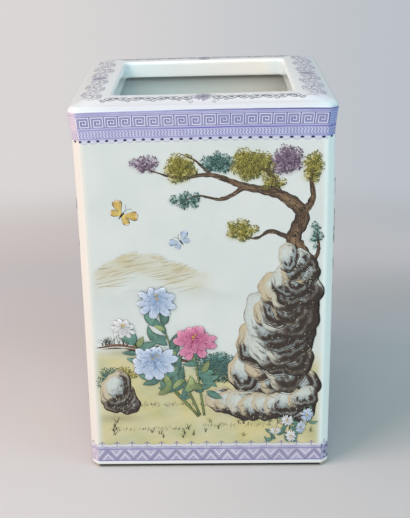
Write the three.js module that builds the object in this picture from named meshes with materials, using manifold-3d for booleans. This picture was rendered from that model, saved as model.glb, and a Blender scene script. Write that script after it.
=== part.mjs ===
// A square porcelain brush pot, built from luted slabs: four mitred walls, a base slab set up above the foot,
// a top plate with a square mouth, and clay coils pressed into the inside seams.
// Units are millimetres, +Z is up, and the origin is at the middle of the foot, on the table.
import * as THREE from "three";
import { mergeVertices } from "three/addons/utils/BufferGeometryUtils.js";
import Module from "manifold-3d";

const wasm = await Module();
wasm.setup();

// Driving dimensions
const overallHeight = 192;
const bodyWidth = 123;
const wallThickness = 7;
const cornerCant = 3.6;
const arrisRadius = 1.3;
const cantTaper = 0.4;

const footInset = 1.5;
const footRise = 1.9;
const baseRaise = 4;
const baseThickness = 7.5;

const plateThickness = 9;
const plateOverhang = 1.4;
const plateEdgeRadius = 3.2;
const plateUnderRadius = 0.9;
const plateCrown = 1.5;
const seamCoveHeight = 4;
const seamCoveReach = 0.7;

const mouthWidth = 86;
const mouthCornerRadius = 3;
const mouthEdgeRadius = 1.6;
const mouthUnderRadius = 1;

const coilReach = 5;
const coilToe = 0.8;
const coilGap = 0.3;

// Fineness of the curved stretches
const arcSteps = 4;
const edgeSteps = 5;
const coveSteps = 4;
const underSteps = 2;
const coilSteps = 6;

// How far a cutting shape runs past what it cuts
const cutMargin = 1;

// Places that follow from them
const bodyHalf = bodyWidth / 2;
const cavityHalf = bodyHalf - wallThickness;
const mouthHalf = mouthWidth / 2;
const wallTop = overallHeight - plateThickness;
const floorLevel = baseRaise + baseThickness;
const seamLevel = floorLevel - coilToe;
const floorHalf = cavityHalf - coilReach - coilGap;
const quarterTurn = Math.PI / 2;

const glaze = new THREE.MeshStandardMaterial({ color: 0xe9edeb, roughness: 0.15, metalness: 0 });
const bareClay = new THREE.MeshStandardMaterial({ color: 0xe4dccb, roughness: 0.7, metalness: 0 });

// One corner of the outer plan: the cut corner's two soft vertices, as points running anticlockwise.
function cantedCorner(half, cant, radius) {
  const points = [];
  const eighth = quarterTurn / 2;
  const setBack = radius * Math.tan(eighth / 2);
  const vertices = [
    { x: half, y: half - cant, from: 0 },
    { x: half - cant, y: half, from: eighth },
  ];
  for (const { x, y, from } of vertices) {
    const startX = x + setBack * Math.sin(from);
    const startY = y - setBack * Math.cos(from);
    const centreX = startX - radius * Math.cos(from);
    const centreY = startY - radius * Math.sin(from);
    for (let i = 0; i <= arcSteps; i += 1) {
      const angle = from + (eighth * i) / arcSteps;
      points.push([centreX + radius * Math.cos(angle), centreY + radius * Math.sin(angle)]);
    }
  }
  return points;
}

// One corner of the mouth's plan, an arc with as many points as the outer corner has.
function roundCorner(half, radius) {
  const points = [];
  const steps = 2 * arcSteps + 1;
  for (let i = 0; i <= steps; i += 1) {
    const angle = (quarterTurn * i) / steps;
    points.push([half - radius + radius * Math.cos(angle), half - radius + radius * Math.sin(angle)]);
  }
  return points;
}

// A corner turned into the four corners of a plan, at one height.
function ring(corner, z) {
  const points = [];
  for (let side = 0; side < 4; side += 1) {
    const c = Math.round(Math.cos(side * quarterTurn));
    const s = Math.round(Math.sin(side * quarterTurn));
    for (const [x, y] of corner) points.push([x * c - y * s, x * s + y * c, z]);
  }
  return points;
}

// The pot's outline drawn in by an inset, with its cut corners a little narrower for it.
function outerRing(inset, z) {
  return ring(cantedCorner(bodyHalf - inset, cornerCant - inset * cantTaper, arrisRadius), z);
}

// The mouth's outline, widened by a spread.
function mouthRing(spread, z) {
  return ring(roundCorner(mouthHalf + spread, mouthCornerRadius + spread), z);
}

function squareRing(half, z) {
  return ring([[half, half]], z);
}

// A closed surface through rings of equal length. A looped stack joins its last ring to its first, and
// any other stack has a flat cap at each end.
function loft(rings, looped) {
  const count = rings[0].length;
  const positions = rings.flat(2);
  const index = [];
  const last = looped ? rings.length : rings.length - 1;
  for (let r = 0; r < last; r += 1) {
    const lower = r * count;
    const upper = ((r + 1) % rings.length) * count;
    for (let i = 0; i < count; i += 1) {
      const j = (i + 1) % count;
      index.push(lower + i, lower + j, upper + j, lower + i, upper + j, upper + i);
    }
  }
  if (!looped) {
    const top = (rings.length - 1) * count;
    for (let i = 1; i < count - 1; i += 1) {
      index.push(0, i + 1, i);
      index.push(top, top + i, top + i + 1);
    }
  }
  const geometry = new THREE.BufferGeometry();
  geometry.setAttribute("position", new THREE.Float32BufferAttribute(positions, 3));
  geometry.setIndex(index);
  return geometry;
}

// An extruded outline, in the plan's plane, from one height to another.
function prism(outline, fromZ, toZ) {
  const shape = new THREE.Shape(outline.map(([x, y]) => new THREE.Vector2(x, y)));
  const geometry = new THREE.ExtrudeGeometry(shape, { depth: toZ - fromZ, bevelEnabled: false });
  return geometry.translate(0, 0, fromZ);
}

function solid(geometry) {
  const bare = geometry.clone();
  bare.deleteAttribute("normal");
  bare.deleteAttribute("uv");
  const merged = mergeVertices(bare, 1e-4);
  return new wasm.Manifold(
    new wasm.Mesh({
      numProp: 3,
      vertProperties: merged.attributes.position.array,
      triVerts: new Uint32Array(merged.index.array),
    }),
  );
}

function geometryOf(manifold) {
  const mesh = manifold.getMesh();
  const geometry = new THREE.BufferGeometry();
  geometry.setAttribute("position", new THREE.BufferAttribute(mesh.vertProperties, 3));
  geometry.setIndex(new THREE.BufferAttribute(mesh.triVerts, 1));
  const flat = geometry.toNonIndexed();
  flat.computeVertexNormals();
  return flat;
}

// The outside of the four walls: a rounded foot, plain faces, and a slip cove that runs out under the plate.
function bodyRings() {
  const rings = [];
  for (let i = 0; i <= edgeSteps; i += 1) {
    const angle = (quarterTurn * i) / edgeSteps;
    rings.push(outerRing(footInset * (1 - Math.sin(angle)), footRise * (1 - Math.cos(angle))));
  }
  for (let i = 0; i <= coveSteps; i += 1) {
    const share = i / coveSteps;
    rings.push(outerRing(-seamCoveReach * share * share, wallTop - seamCoveHeight * (1 - share)));
  }
  return rings;
}

// The top plate's section, run round the plan: under edge, overhang, soft outer edge, crown and mouth.
function plateRings() {
  const rings = [];
  const shoulder = overallHeight - plateCrown;
  const arc = (steps, place) => {
    for (let i = 0; i <= steps; i += 1) rings.push(place((quarterTurn * i) / steps));
  };
  arc(underSteps, (a) =>
    outerRing(
      -plateOverhang + plateUnderRadius * (1 - Math.sin(a)),
      wallTop + plateUnderRadius * (1 - Math.cos(a)),
    ),
  );
  arc(edgeSteps, (a) =>
    outerRing(
      -plateOverhang + plateEdgeRadius * (1 - Math.cos(a)),
      shoulder - plateEdgeRadius * (1 - Math.sin(a)),
    ),
  );
  arc(edgeSteps, (a) =>
    mouthRing(
      mouthEdgeRadius * (1 - Math.sin(a)),
      overallHeight - mouthEdgeRadius * (1 - Math.cos(a)),
    ),
  );
  arc(underSteps, (a) =>
    mouthRing(
      mouthUnderRadius * (1 - Math.cos(a)),
      wallTop + mouthUnderRadius * (1 - Math.sin(a)),
    ),
  );
  return rings;
}

// A quarter of the plan, bounded by its two mitre planes, turned to one side.
function mitreWedge(turns) {
  const reach = bodyWidth;
  const outline = [[0, 0], [reach, -reach], [reach, reach]];
  const wedge = prism(outline, -cutMargin, overallHeight + cutMargin);
  return wedge.rotateZ(turns * quarterTurn);
}

// A length of clay coil smoothed into a corner. Its section is a right angle with a hollow face and
// two blunt toes, and its legs lie along +X and +Y.
function coil(length) {
  const shape = new THREE.Shape();
  shape.moveTo(0, 0);
  shape.lineTo(coilReach, 0);
  shape.absarc(coilReach, coilReach, coilReach - coilToe, -quarterTurn, -2 * quarterTurn, true);
  shape.lineTo(0, coilReach);
  return new THREE.ExtrudeGeometry(shape, { depth: length, bevelEnabled: false, curveSegments: coilSteps });
}

const pot = new THREE.Group();

function add(name, geometry, material) {
  const mesh = new THREE.Mesh(geometry, material);
  mesh.name = name;
  pot.add(mesh);
  return mesh;
}

// Walls
const cavity = new THREE.BoxGeometry(2 * cavityHalf, 2 * cavityHalf, 2 * (overallHeight + cutMargin));
const shell = solid(loft(bodyRings(), false)).subtract(solid(cavity));
["right_wall", "back_wall", "left_wall", "front_wall"].forEach((name, turns) => {
  add(name, geometryOf(shell.intersect(solid(mitreWedge(turns)))), glaze);
});

// Base slab, carried inside the walls above the foot, with a rebate round it that the coils are pressed into
const baseRings = [
  squareRing(cavityHalf, baseRaise),
  squareRing(cavityHalf, seamLevel),
  squareRing(floorHalf, seamLevel),
  squareRing(floorHalf, floorLevel),
];
add("base_plate", loft(baseRings, false), bareClay);

// Top plate with its mouth
add("top_plate", loft(plateRings(), true), glaze);

// Coils up the four inside corners, from the rebate to the underside of the top plate
["front_left", "front_right", "back_right", "back_left"].forEach((corner, turns) => {
  const upright = add(`${corner}_corner_coil`, coil(wallTop - seamLevel), bareClay);
  const c = Math.round(Math.cos(turns * quarterTurn));
  const s = Math.round(Math.sin(turns * quarterTurn));
  upright.rotation.z = turns * quarterTurn;
  upright.position.set(-cavityHalf * c + cavityHalf * s, -cavityHalf * s - cavityHalf * c, seamLevel);
});

// Coils in the rebate along the four walls, between the upright ones
const runLength = 2 * floorHalf;
["front", "right", "back", "left"].forEach((side, turns) => {
  const run = coil(runLength);
  run.rotateX(quarterTurn).rotateZ(quarterTurn);
  run.translate(-runLength / 2, -cavityHalf, seamLevel);
  run.rotateZ(turns * quarterTurn);
  add(`${side}_floor_coil`, run, bareClay);
});

export default pot;
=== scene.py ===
"""A square porcelain brush pot with cut corners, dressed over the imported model: one glazed skin over the
luted slabs, lilac borders, and overglaze enamels laid on it as thin raised strokes."""
import math

import bpy
import numpy as np
from mathutils import Matrix, Vector


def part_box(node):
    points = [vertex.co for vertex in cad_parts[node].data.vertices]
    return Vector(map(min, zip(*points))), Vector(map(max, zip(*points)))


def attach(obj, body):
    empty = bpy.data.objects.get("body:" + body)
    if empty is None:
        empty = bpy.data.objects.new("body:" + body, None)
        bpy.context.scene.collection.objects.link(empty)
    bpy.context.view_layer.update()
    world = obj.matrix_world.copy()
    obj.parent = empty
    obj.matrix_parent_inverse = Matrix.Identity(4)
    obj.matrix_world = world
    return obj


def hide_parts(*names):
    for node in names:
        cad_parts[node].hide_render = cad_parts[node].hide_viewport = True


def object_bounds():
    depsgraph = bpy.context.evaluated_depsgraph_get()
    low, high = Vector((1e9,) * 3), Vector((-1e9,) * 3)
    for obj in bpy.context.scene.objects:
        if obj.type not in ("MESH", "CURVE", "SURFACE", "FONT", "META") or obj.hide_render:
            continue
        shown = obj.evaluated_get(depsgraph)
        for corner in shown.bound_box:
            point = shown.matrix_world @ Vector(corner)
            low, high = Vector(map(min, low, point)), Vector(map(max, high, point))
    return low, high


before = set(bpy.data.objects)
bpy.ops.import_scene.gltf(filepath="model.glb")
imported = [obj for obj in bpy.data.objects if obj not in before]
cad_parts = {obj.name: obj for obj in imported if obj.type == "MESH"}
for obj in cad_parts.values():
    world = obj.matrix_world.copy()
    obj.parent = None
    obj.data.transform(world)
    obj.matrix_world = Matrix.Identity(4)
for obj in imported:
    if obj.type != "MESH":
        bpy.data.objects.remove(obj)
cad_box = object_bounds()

# Sizes are in millimetres, and meshes are written in metres.
MM = 0.001
TAU = 2 * math.pi
quarter = math.pi / 2

# Sizes from the frame
pot_height = cad_box[1].z / MM
plate_half = cad_box[1].x / MM
floor_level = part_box("base_plate")[1].z / MM
base_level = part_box("base_plate")[0].z / MM
cavity_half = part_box("base_plate")[1].x / MM
plate_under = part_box("top_plate")[0].z / MM

# Sizes of the glazed skin
plate_overhang = 1.4
wall_half = plate_half - plate_overhang
corner_cut = 3.6
arris_radius, plate_arris = 2.2, 3.6
foot_inset, foot_rise = 1.5, 1.9
foot_inner_radius = 0.6
under_corner = 1.5
plate_blend, blend_power, plate_spacing = 9.5, 1.3, 1.4
plate_edge_radius = 3.2
plate_crown, crown_power = 1.5, 4
mouth_half, mouth_corner = 43.0, 3.0
mouth_edge_radius, mouth_under_radius = 1.6, 1.0
inner_corner = 5.0

# The kiln's warp
wall_bow, wall_ripple = 0.25, 0.15
foot_slide, foot_twist = 0.35, 0.95
wall_lean = 0.7
rim_tilt, rim_ripple = 0.45, 0.12
fired_rise = 0.8

# Fineness of the skin
face_steps, arris_steps, cut_steps = 92, 4, 4
wall_rows, blend_rows, plate_rows, mouth_rows, inner_rows = 142, 14, 15, 6, 14
under_halves, floor_halves = (8, 22, 36, 48), (46, 38, 28, 18, 8)

# Lengths round the pot at wall height
face_run = 2 * (wall_half - corner_cut)
side_run = face_run + corner_cut * math.sqrt(2)


# Array helpers
def ease(low, high, x):
    """Smooth step from 0 at low to 1 at high: three times the share squared, less twice its cube."""
    t = np.clip((x - low) / (high - low), 0, 1)
    return t * t * (3 - 2 * t)


def aim(angle):
    """Unit vectors along angles."""
    return np.stack([np.cos(angle), np.sin(angle)], -1)


def waves(x, y, scale, seed):
    """Smooth random field from -1 to 1: sums of plane waves in seeded directions, in three octaves, each
    finer and weaker than the last."""
    rng = np.random.default_rng(seed)
    total, weight = 0.0, 0.0
    for octave in range(3):
        size, share = scale / 2**octave, 0.55**octave
        for _ in range(5):
            angle, phase = rng.uniform(0, TAU, 2)
            stretch = rng.uniform(0.7, 1.4)
            along = x * math.cos(angle) + y * math.sin(angle)
            total = total + share * np.sin(along * TAU * stretch / size + phase)
            weight += share * share / 2
    return total / (2.2 * math.sqrt(weight))


def fired_warp(points):
    """The pot's slight warp from the kiln, each part under about 1 mm: sines of height and place bow and
    ripple the walls, the foot slides, twists and leans by its depth below the rim, and the rim tilts by
    the square of the height."""
    x, y, z = points[..., 0], points[..., 1], points[..., 2]
    rise = z / pot_height
    bow = wall_bow * np.sin(math.pi * rise)
    moved = points.copy()
    moved[..., 0] += bow * np.sin(y / 40 + 0.4) + wall_ripple * np.sin(z / 31 + y / 57)
    moved[..., 1] += bow * np.sin(x / 37 + 1.1) + wall_ripple * np.sin(z / 27 + x / 49)
    moved[..., 1] -= (foot_slide + foot_twist * x / wall_half) * (1 - rise)
    moved[..., 0] += wall_lean * y / wall_half * (1 - rise) + wall_lean * ease(1.0, 0.72, rise)
    tilt = rim_tilt * x / wall_half + rim_ripple * np.sin(x / 23 + y / 31)
    moved[..., 2] += rise**2 * tilt + fired_rise * rise
    return moved


def run_along(path):
    """The length run at each point of a path."""
    return np.concatenate([[0], np.cumsum(np.linalg.norm(np.diff(path, axis=0), axis=1))])


def wound(rows, sides):
    """Triangles of a skin wound from rows of points, each row closed on itself and joined to the next."""
    block = np.arange(rows * sides).reshape(rows, sides)
    ahead = np.roll(block, -1, 1)
    quads = np.stack([block[:-1], ahead[:-1], ahead[1:], block[1:]], -1).reshape(-1, 4)
    return np.concatenate([quads[:, [0, 1, 2]], quads[:, [0, 2, 3]]])


def mesh_object(name, points, faces):
    """A smooth mesh object at the origin from points in millimetres and an array of faces."""
    mesh = bpy.data.meshes.new(name)
    mesh.vertices.add(len(points))
    mesh.vertices.foreach_set("co", (points * MM).astype(np.float32).ravel())
    mesh.loops.add(faces.size)
    mesh.loops.foreach_set("vertex_index", faces.astype(np.int32).ravel())
    mesh.polygons.add(len(faces))
    mesh.polygons.foreach_set("loop_start", (np.arange(len(faces)) * faces.shape[1]).astype(np.int32))
    mesh.polygons.foreach_set("use_smooth", np.full(len(faces), True))
    mesh.update(calc_edges=True)
    mesh.validate()
    made = bpy.data.objects.new(name, mesh)
    bpy.context.scene.collection.objects.link(made)
    return made


def put_map(piece, name, corners):
    """A UV map from one place for each corner of each face."""
    layer = piece.data.uv_layers.new(name=name)
    layer.uv.foreach_set("vector", corners.astype(np.float32).ravel())


def put_colours(piece, name, colours, cover):
    """A colour attribute from a colour and a cover for each vertex."""
    layer = piece.data.color_attributes.new(name, "FLOAT_COLOR", "POINT")
    layer.data.foreach_set("color", np.column_stack([colours, cover]).astype(np.float32).ravel())


# The glazed skin
def quarter_turns(corner):
    """A corner's points turned into all four corners, anticlockwise."""
    corners = [corner]
    for _ in range(3):
        x, y = corners[-1].T
        corners.append(np.stack([-y, x], 1))
    return np.concatenate(corners)


def arc(centre, radius, start, end, steps):
    """Points along an arc between two angles."""
    return np.asarray(centre) + radius * aim(np.linspace(start, end, steps + 1))


def spread(start, end, steps):
    """Points along a straight run, without its two ends."""
    share = np.linspace(0, 1, steps + 1)[1:-1, None]
    return np.asarray(start) * (1 - share) + np.asarray(end) * share


def cut_plan(half, cut, radius=arris_radius):
    """The outer plan: a quarter is the right face's run, an arc, the cut corner's run and another arc."""
    back = radius * math.tan(math.pi / 8)
    first = arc((half - radius, half - cut - back), radius, 0, math.pi / 4, arris_steps)
    last = first[::-1, ::-1]
    face = spread((half, -first[0, 1]), first[0], face_steps)
    return quarter_turns(np.concatenate([face, first, spread(first[-1], last[0], cut_steps), last]))


def round_plan(half, radius):
    """An inner plan with round corners, with as many points as the outer one."""
    inner = half - radius
    corner = arc((inner, inner), radius, 0, quarter, 2 * arris_steps + cut_steps)
    face = spread((half, -inner), (half, inner), face_steps)
    return quarter_turns(np.concatenate([face, corner]))


def quarter_round(steps, first=1):
    """Pairs of 1 - cosine and 1 - sine round a quarter turn, which go from 0 to 1 and from 1 to 0."""
    angle = np.linspace(0, quarter, steps + 1)[first:]
    return zip(1 - np.cos(angle), 1 - np.sin(angle))


def skin_rings():
    """The skin's rings, each a plan and a height: from under the base, over the foot, walls and top plate,
    into the mouth and down to the floor. It also gives the numbers of the first rings at the foot and in
    the mouth."""
    rings, marks = [], []

    def ring(plan, z):
        rings.append((plan, z))

    def mouth_ring(out, z):
        ring(round_plan(mouth_half + out, mouth_corner + out), z)

    for half in (*under_halves, cavity_half - inner_corner * 0.3, cavity_half - 0.4):
        ring(round_plan(half, min(half * 0.3, under_corner)), base_level)
    for z in (base_level - 0.6, base_level / 2, foot_inner_radius):
        ring(round_plan(cavity_half, under_corner), z)
    for out, up in quarter_round(3):
        out = foot_inner_radius * out
        ring(round_plan(cavity_half + out, under_corner + out), foot_inner_radius * up)
    marks.append(len(rings))
    for up, inset in quarter_round(6, 0):
        inset = foot_inset * inset
        ring(cut_plan(wall_half - inset, corner_cut - inset * 0.4), foot_rise * up)
    blend_from = plate_under - plate_blend
    for z in np.linspace(foot_rise, blend_from, wall_rows)[1:]:
        ring(cut_plan(wall_half, corner_cut), z)
    shoulder = pot_height - plate_crown
    edge_from = shoulder - plate_edge_radius
    for z in np.linspace(blend_from, edge_from, blend_rows)[1:]:
        share = ((z - blend_from) / (edge_from - blend_from)) ** blend_power
        radius = arris_radius + share * (plate_arris - arris_radius)
        ring(cut_plan(wall_half + plate_overhang * share, corner_cut, radius), z)
    for inset, up in quarter_round(8):
        inset = plate_edge_radius * inset
        plan = cut_plan(plate_half - inset, corner_cut - inset * 0.1, plate_arris)
        ring(plan, edge_from + plate_edge_radius * (1 - up))
    outer = rings[-1][0]
    inner = round_plan(mouth_half + mouth_edge_radius, mouth_corner + mouth_edge_radius)
    for share in np.linspace(0, 1, plate_rows)[1:] ** plate_spacing:
        crown = plate_crown * (1 - (1 - share) ** crown_power)
        ring(outer * (1 - share) + inner * share, shoulder + crown)
    marks.append(len(rings))
    for fall, out in quarter_round(7):
        mouth_ring(mouth_edge_radius * out, pot_height - mouth_edge_radius * fall)
    for z in np.linspace(pot_height - mouth_edge_radius, plate_under + mouth_under_radius, mouth_rows)[1:]:
        mouth_ring(0, z)
    for out, up in quarter_round(4):
        mouth_ring(mouth_under_radius * out, plate_under + mouth_under_radius * up)
    for share in (0.35, 0.7, 1):
        half = mouth_half + mouth_under_radius + share * (cavity_half - 1.6 - mouth_half)
        ring(round_plan(half, mouth_corner + 2), plate_under)
    wall_from = [plate_under - 0.5, plate_under - 1.6]
    for z in [*wall_from, *np.linspace(plate_under - 12, floor_level + inner_corner, inner_rows)]:
        ring(round_plan(cavity_half, inner_corner), z)
    for inset, up in quarter_round(5):
        ring(round_plan(cavity_half - inner_corner * inset, inner_corner), floor_level + inner_corner * up)
    for half in floor_halves:
        ring(round_plan(half, min(half * 0.3, 4)), floor_level)
    return rings, marks


def make_skin():
    """The skin as a loft of its rings, closed by a fan of triangles under the base and on the floor. Its map
    "wrap" holds the length round the pot, and the height outside or the length past the mouth or foot.
    "OFBake" holds the length round and the length along the profile, as shares."""
    rings, (foot_ring, mouth_ring) = skin_rings()
    rows, count = len(rings), len(rings[0][0])
    points = np.concatenate([np.column_stack([plan, np.full(count, z)]) for plan, z in rings])
    ends = np.array([[0, 0, base_level], [0, 0, floor_level]], float)
    under_eye, floor_eye = len(points), len(points) + 1
    here, ahead = np.arange(count), np.roll(np.arange(count), -1)
    last = len(points) - count
    under = np.stack([ahead, here, np.full(count, under_eye)], 1)
    over = np.stack([last + here, last + ahead, np.full(count, floor_eye)], 1)
    triangles = np.concatenate([wound(rows, count), under, over])
    piece = mesh_object("glazed_body", fired_warp(np.concatenate([points, ends])), triangles)

    plan = rings[foot_ring + 20][0]
    along = run_along(np.concatenate([plan, plan[:1]]))
    front_middle = along[count * 3 // 4 + face_steps // 2 - 1]
    profile = np.array([[np.abs(p[:, 0]).max(), z] for p, z in rings])
    length = run_along(profile) + profile[0, 0]
    total = length[-1] + profile[-1, 0]
    level = profile[:, 1].copy()
    level[:foot_ring] = length[:foot_ring] - length[foot_ring]
    level[mouth_ring:] = pot_height + length[mouth_ring:] - length[mouth_ring]
    column, row = triangles % count, triangles // count
    at_eye, at_floor = row >= rows, triangles == floor_eye
    column = np.where(row == rows, np.roll(column, -1, 1), column)
    wraps = (column == 0) & (column.max(1, keepdims=True) == count - 1)
    around = np.where(wraps, along[-1], along[column])
    row = np.minimum(row, rows - 1)
    high = np.where(at_eye, np.where(at_floor, level[-1] + 8, level[0] - 8), level[row])
    travelled = np.where(at_eye, np.where(at_floor, total, 0), length[row])
    put_map(piece, "wrap", np.stack([(around - front_middle) * side_run * 4 / along[-1], high], -1))
    put_map(piece, "OFBake", np.stack([around / along[-1], travelled / total], -1) * 0.998 + 0.001)
    return piece


# Shader maths
class Value:
    """A number that changes over a surface: a node's output whose operators add Math nodes."""

    def __init__(self, finish, socket):
        self.finish, self.socket = finish, socket

    def maths(self, operation, *values):
        """What a Math node makes of values."""
        return self.finish.node("ShaderNodeMath", {"operation": operation}, values)

    def __add__(self, other):
        return self.maths("ADD", self, other)

    def __sub__(self, other):
        return self.maths("SUBTRACT", self, other)

    def __rsub__(self, other):
        return self.maths("SUBTRACT", other, self)

    def __mul__(self, other):
        return self.maths("MULTIPLY", self, other)

    def __truediv__(self, other):
        return self.maths("DIVIDE", self, other)

    def __mod__(self, other):
        return self.maths("FLOORED_MODULO", self, other)

    def __abs__(self):
        return self.maths("ABSOLUTE", self)

    def __and__(self, other):
        return self.maths("MINIMUM", self, other)

    def __or__(self, other):
        return self.maths("MAXIMUM", self, other)

    __radd__, __rmul__ = __add__, __mul__

    def step(self, low, high):
        """0 below low and 1 above high, smooth between. With low above high it falls."""
        if low > high:
            return 1 - self.step(high, low)
        inputs = {"Value": self, "From Min": low, "From Max": high}
        return self.finish.node("ShaderNodeMapRange", {"interpolation_type": "SMOOTHSTEP"}, inputs)

    def band(self, low, high, soft=0.08):
        """1 between two limits, with soft edges."""
        return self.step(low - soft, low + soft) & self.step(high + soft, high - soft)

    def line(self, at, width, soft=0.12):
        """1 on a line where the value is at, of a width."""
        return abs(self - at).step(width / 2 + soft, width / 2 - soft)

    def repeat(self, pitch):
        """Distance from the middle of the nearest cell, in a row of cells of one pitch centred on 0."""
        return (self + pitch / 2) % pitch - pitch / 2


class Finish:
    """A material under construction, with its one shader for lit surfaces."""

    def __init__(self, name):
        self.material = bpy.data.materials.new(name)
        self.material.use_nodes = True
        self.tree = self.material.node_tree
        self.shader = self.tree.nodes["Principled BSDF"]

    def node(self, kind, settings=None, inputs=(), output=0):
        """Adds a node with its settings and inputs, and gives one of its outputs."""
        made = self.tree.nodes.new(kind)
        for key, value in (settings or {}).items():
            setattr(made, key, value)
        pairs = inputs.items() if isinstance(inputs, dict) else enumerate(inputs)
        for key, value in pairs:
            self.feed(made.inputs[key], value)
        return Value(self, made.outputs[output])

    def feed(self, socket, value):
        """Links a value to a socket, or sets the constant on the socket itself."""
        if isinstance(value, Value):
            self.tree.links.new(value.socket, socket)
        elif hasattr(socket.default_value, "__len__") and len(socket.default_value) == 4:
            socket.default_value = (*value[:3], 1)
        else:
            socket.default_value = value

    def surface(self, **values):
        """Links or plain values for the shader's own sockets."""
        for key, value in values.items():
            self.feed(self.shader.inputs[key.replace("_", " ")], value)

    def outputs(self, made):
        """All the outputs of the node behind a value."""
        return [Value(self, socket) for socket in made.socket.node.outputs]

    def parts(self, vector):
        """A vector's three numbers."""
        return self.outputs(self.node("ShaderNodeSeparateXYZ", {}, [vector]))

    def attribute(self, name):
        """A colour attribute and its cover."""
        colour, _, _, cover = self.outputs(self.node("ShaderNodeAttribute", {"attribute_name": name}))
        return colour, cover

    def blend(self, amount, under, over):
        """One colour laid over another by an amount from 0 to 1."""
        settings = {"data_type": "RGBA", "clamp_factor": True}
        return self.node("ShaderNodeMix", settings, {0: amount, 6: under, 7: over}, 2)

    def coats(self, colour, *laid):
        """A colour with others laid over it in turn, each a pair of an amount and a colour."""
        for amount, over in laid:
            colour = self.blend(amount, colour, over)
        return colour

    def tint(self, colour, shade):
        """A colour multiplied by another."""
        settings = {"data_type": "RGBA", "blend_type": "MULTIPLY"}
        return self.node("ShaderNodeMix", settings, {0: 1.0, 6: colour, 7: shade}, 2)

    def shaded(self, amount, colour, shade):
        """A colour multiplied by another by an amount."""
        return self.tint(colour, self.blend(amount, (1, 1, 1), shade))

    def noise(self, where, scale, detail=2.0, rough=0.5):
        """Smooth noise of about 0 to 1, with its scale in cycles a metre."""
        inputs = {"Vector": where, "Scale": scale, "Detail": detail, "Roughness": rough}
        return self.node("ShaderNodeTexNoise", {}, inputs)

    def place(self):
        """Where a point lies on the object, in metres."""
        return self.node("ShaderNodeTexCoord", output="Object")

    def bump(self, height, distance, strength=1.0):
        """The surface's direction, tilted by a height."""
        inputs = {"Height": height, "Distance": distance, "Strength": strength}
        return self.node("ShaderNodeBump", {}, inputs)


# Glaze colours. A pair goes from the thin or left part to the thick or right one.
glaze_white = (0.665, 0.725, 0.715), (0.715, 0.765, 0.755)
# The plate's side edge and top hold painted light: lighter and warmer to the left, cyan to the right.
edge_white, edge_key_lit, edge_fill_lit = (0.66, 0.71, 0.765), (0.74, 0.80, 0.83), (0.64, 0.78, 0.84)
rim_white, rim_key_lit, rim_fill_lit = (0.765, 0.845, 0.885), (0.87, 0.94, 0.975), (0.66, 0.77, 0.91)
# Painted highlights on the cut corners: warm on the left, cyan on the right.
cut_key_highlight, cut_fill_highlight = (0.832, 0.81, 0.75), (0.81, 0.94, 0.935)
# Painted light inside the mouth: cool on the left, warm on the right, a cyan glow on the left edge, and the
# right lip tinted cool against the key light.
inner_fill_lit, inner_key_lit = (0.88, 0.98, 1.0), (0.99, 0.945, 0.88)
lip_key_side_cooled, inner_fill_glow, shade_deep = (0.85, 0.95, 0.95), (0.78, 0.95, 1.0), (0.33, 0.35, 0.34)
foot_white = (0.84, 0.87, 0.88)
# The dark colour at the foot's outer edge is painted shadow where the foot meets the table.
biscuit, biscuit_pale, contact_shadow = (0.62, 0.54, 0.44), (0.70, 0.63, 0.54), (0.020, 0.018, 0.018)

# Border colours
lilac = (0.435, 0.43, 0.70), (0.545, 0.55, 0.81)
# On the cut corners the borders carry painted light: a pale pink-white highlight on the left cut, bluer on
# the right.
lilac_cuts_lit, border_shade = ((0.33, 0.40, 0.76), (0.76, 0.68, 0.76)), (0.87, 0.91, 0.95)
foot_lilac, foot_lilac_cut_highlight = ((0.37, 0.35, 0.54), (0.53, 0.52, 0.69)), (0.68, 0.61, 0.72)
hatch_inks_lit = (0.13, 0.17, 0.47), (0.50, 0.36, 0.60)
smudge_inks_lit = (0.05, 0.085, 0.24), (0.42, 0.37, 0.56)
lilac_dark, ink_blue = (0.13, 0.11, 0.40), (0.030, 0.025, 0.10)
top_inks, blue_ink = ((0.17, 0.15, 0.33), (0.085, 0.070, 0.24)), (0.15, 0.11, 0.48)
fret_outline, fret_heart, fret_white = (0.11, 0.10, 0.31), (0.19, 0.19, 0.43), (0.84, 0.87, 0.98)
braid_white, braid_ink = (0.76, 0.79, 0.93), (0.10, 0.09, 0.32)
swag_fill, swag_ink = (0.60, 0.62, 0.81), (0.36, 0.33, 0.66)
scallop_white, peak_ink, stem_ink = (0.74, 0.77, 0.86), (0.20, 0.18, 0.36), (0.17, 0.15, 0.33)
stripe_ink, chevron_ink = (0.22, 0.19, 0.33), (0.17, 0.14, 0.29)
chevron_white, chevron_grey = (0.84, 0.85, 0.94), (0.70, 0.70, 0.84)

# The upper border's lines and bands, as depths below the top
top_line, fine_line, fret_from, fret_to, blue_line = 4.6, 5.4, 6.1, 11.3, 12.2
braid_from, braid_to, last_line, swag_line, dot_line = 12.9, 15.45, 15.9, 16.9, 17.0
fret_middle, braid_row = (fret_from + fret_to) / 2, 1.74

# The lower border's, as heights above the foot
foot_line, foot_from, chevrons_from, chevrons_to, dash_line = 2.8, 2.2, 2.6, 8.3, 8.85
lilac_to, scallop_line, peak_line = 10.9, 11.5, 13.35

# How many of each pattern a face holds
fret_count, dot_count, peak_count, chevron_count = 18, 25.5, 15, 13


def fret(x, y):
    """Distance, in the plan's larger direction, to a squared spiral drawn in a cell round (0, 0). Each
    stroke is a middle and two half-lengths."""
    strokes = [
        (-2.7, 0, 0, 2.05), (0, 2.05, 2.7, 0), (2.7, 0, 0, 2.05), (0.65, -2.05, 2.05, 0),
        (-1.4, -0.62, 0, 1.43), (0, 0.81, 1.4, 0), (1.4, 0.05, 0, 0.76), (0.65, -0.72, 0.75, 0),
        (-0.1, -0.4, 0, 0.32),
    ]
    nearest = None
    for middle_x, middle_y, half_x, half_y in strokes:
        from_it = (abs(x - middle_x) - half_x) | (abs(y - middle_y) - half_y)
        nearest = from_it if nearest is None else nearest & from_it
    return nearest


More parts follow.
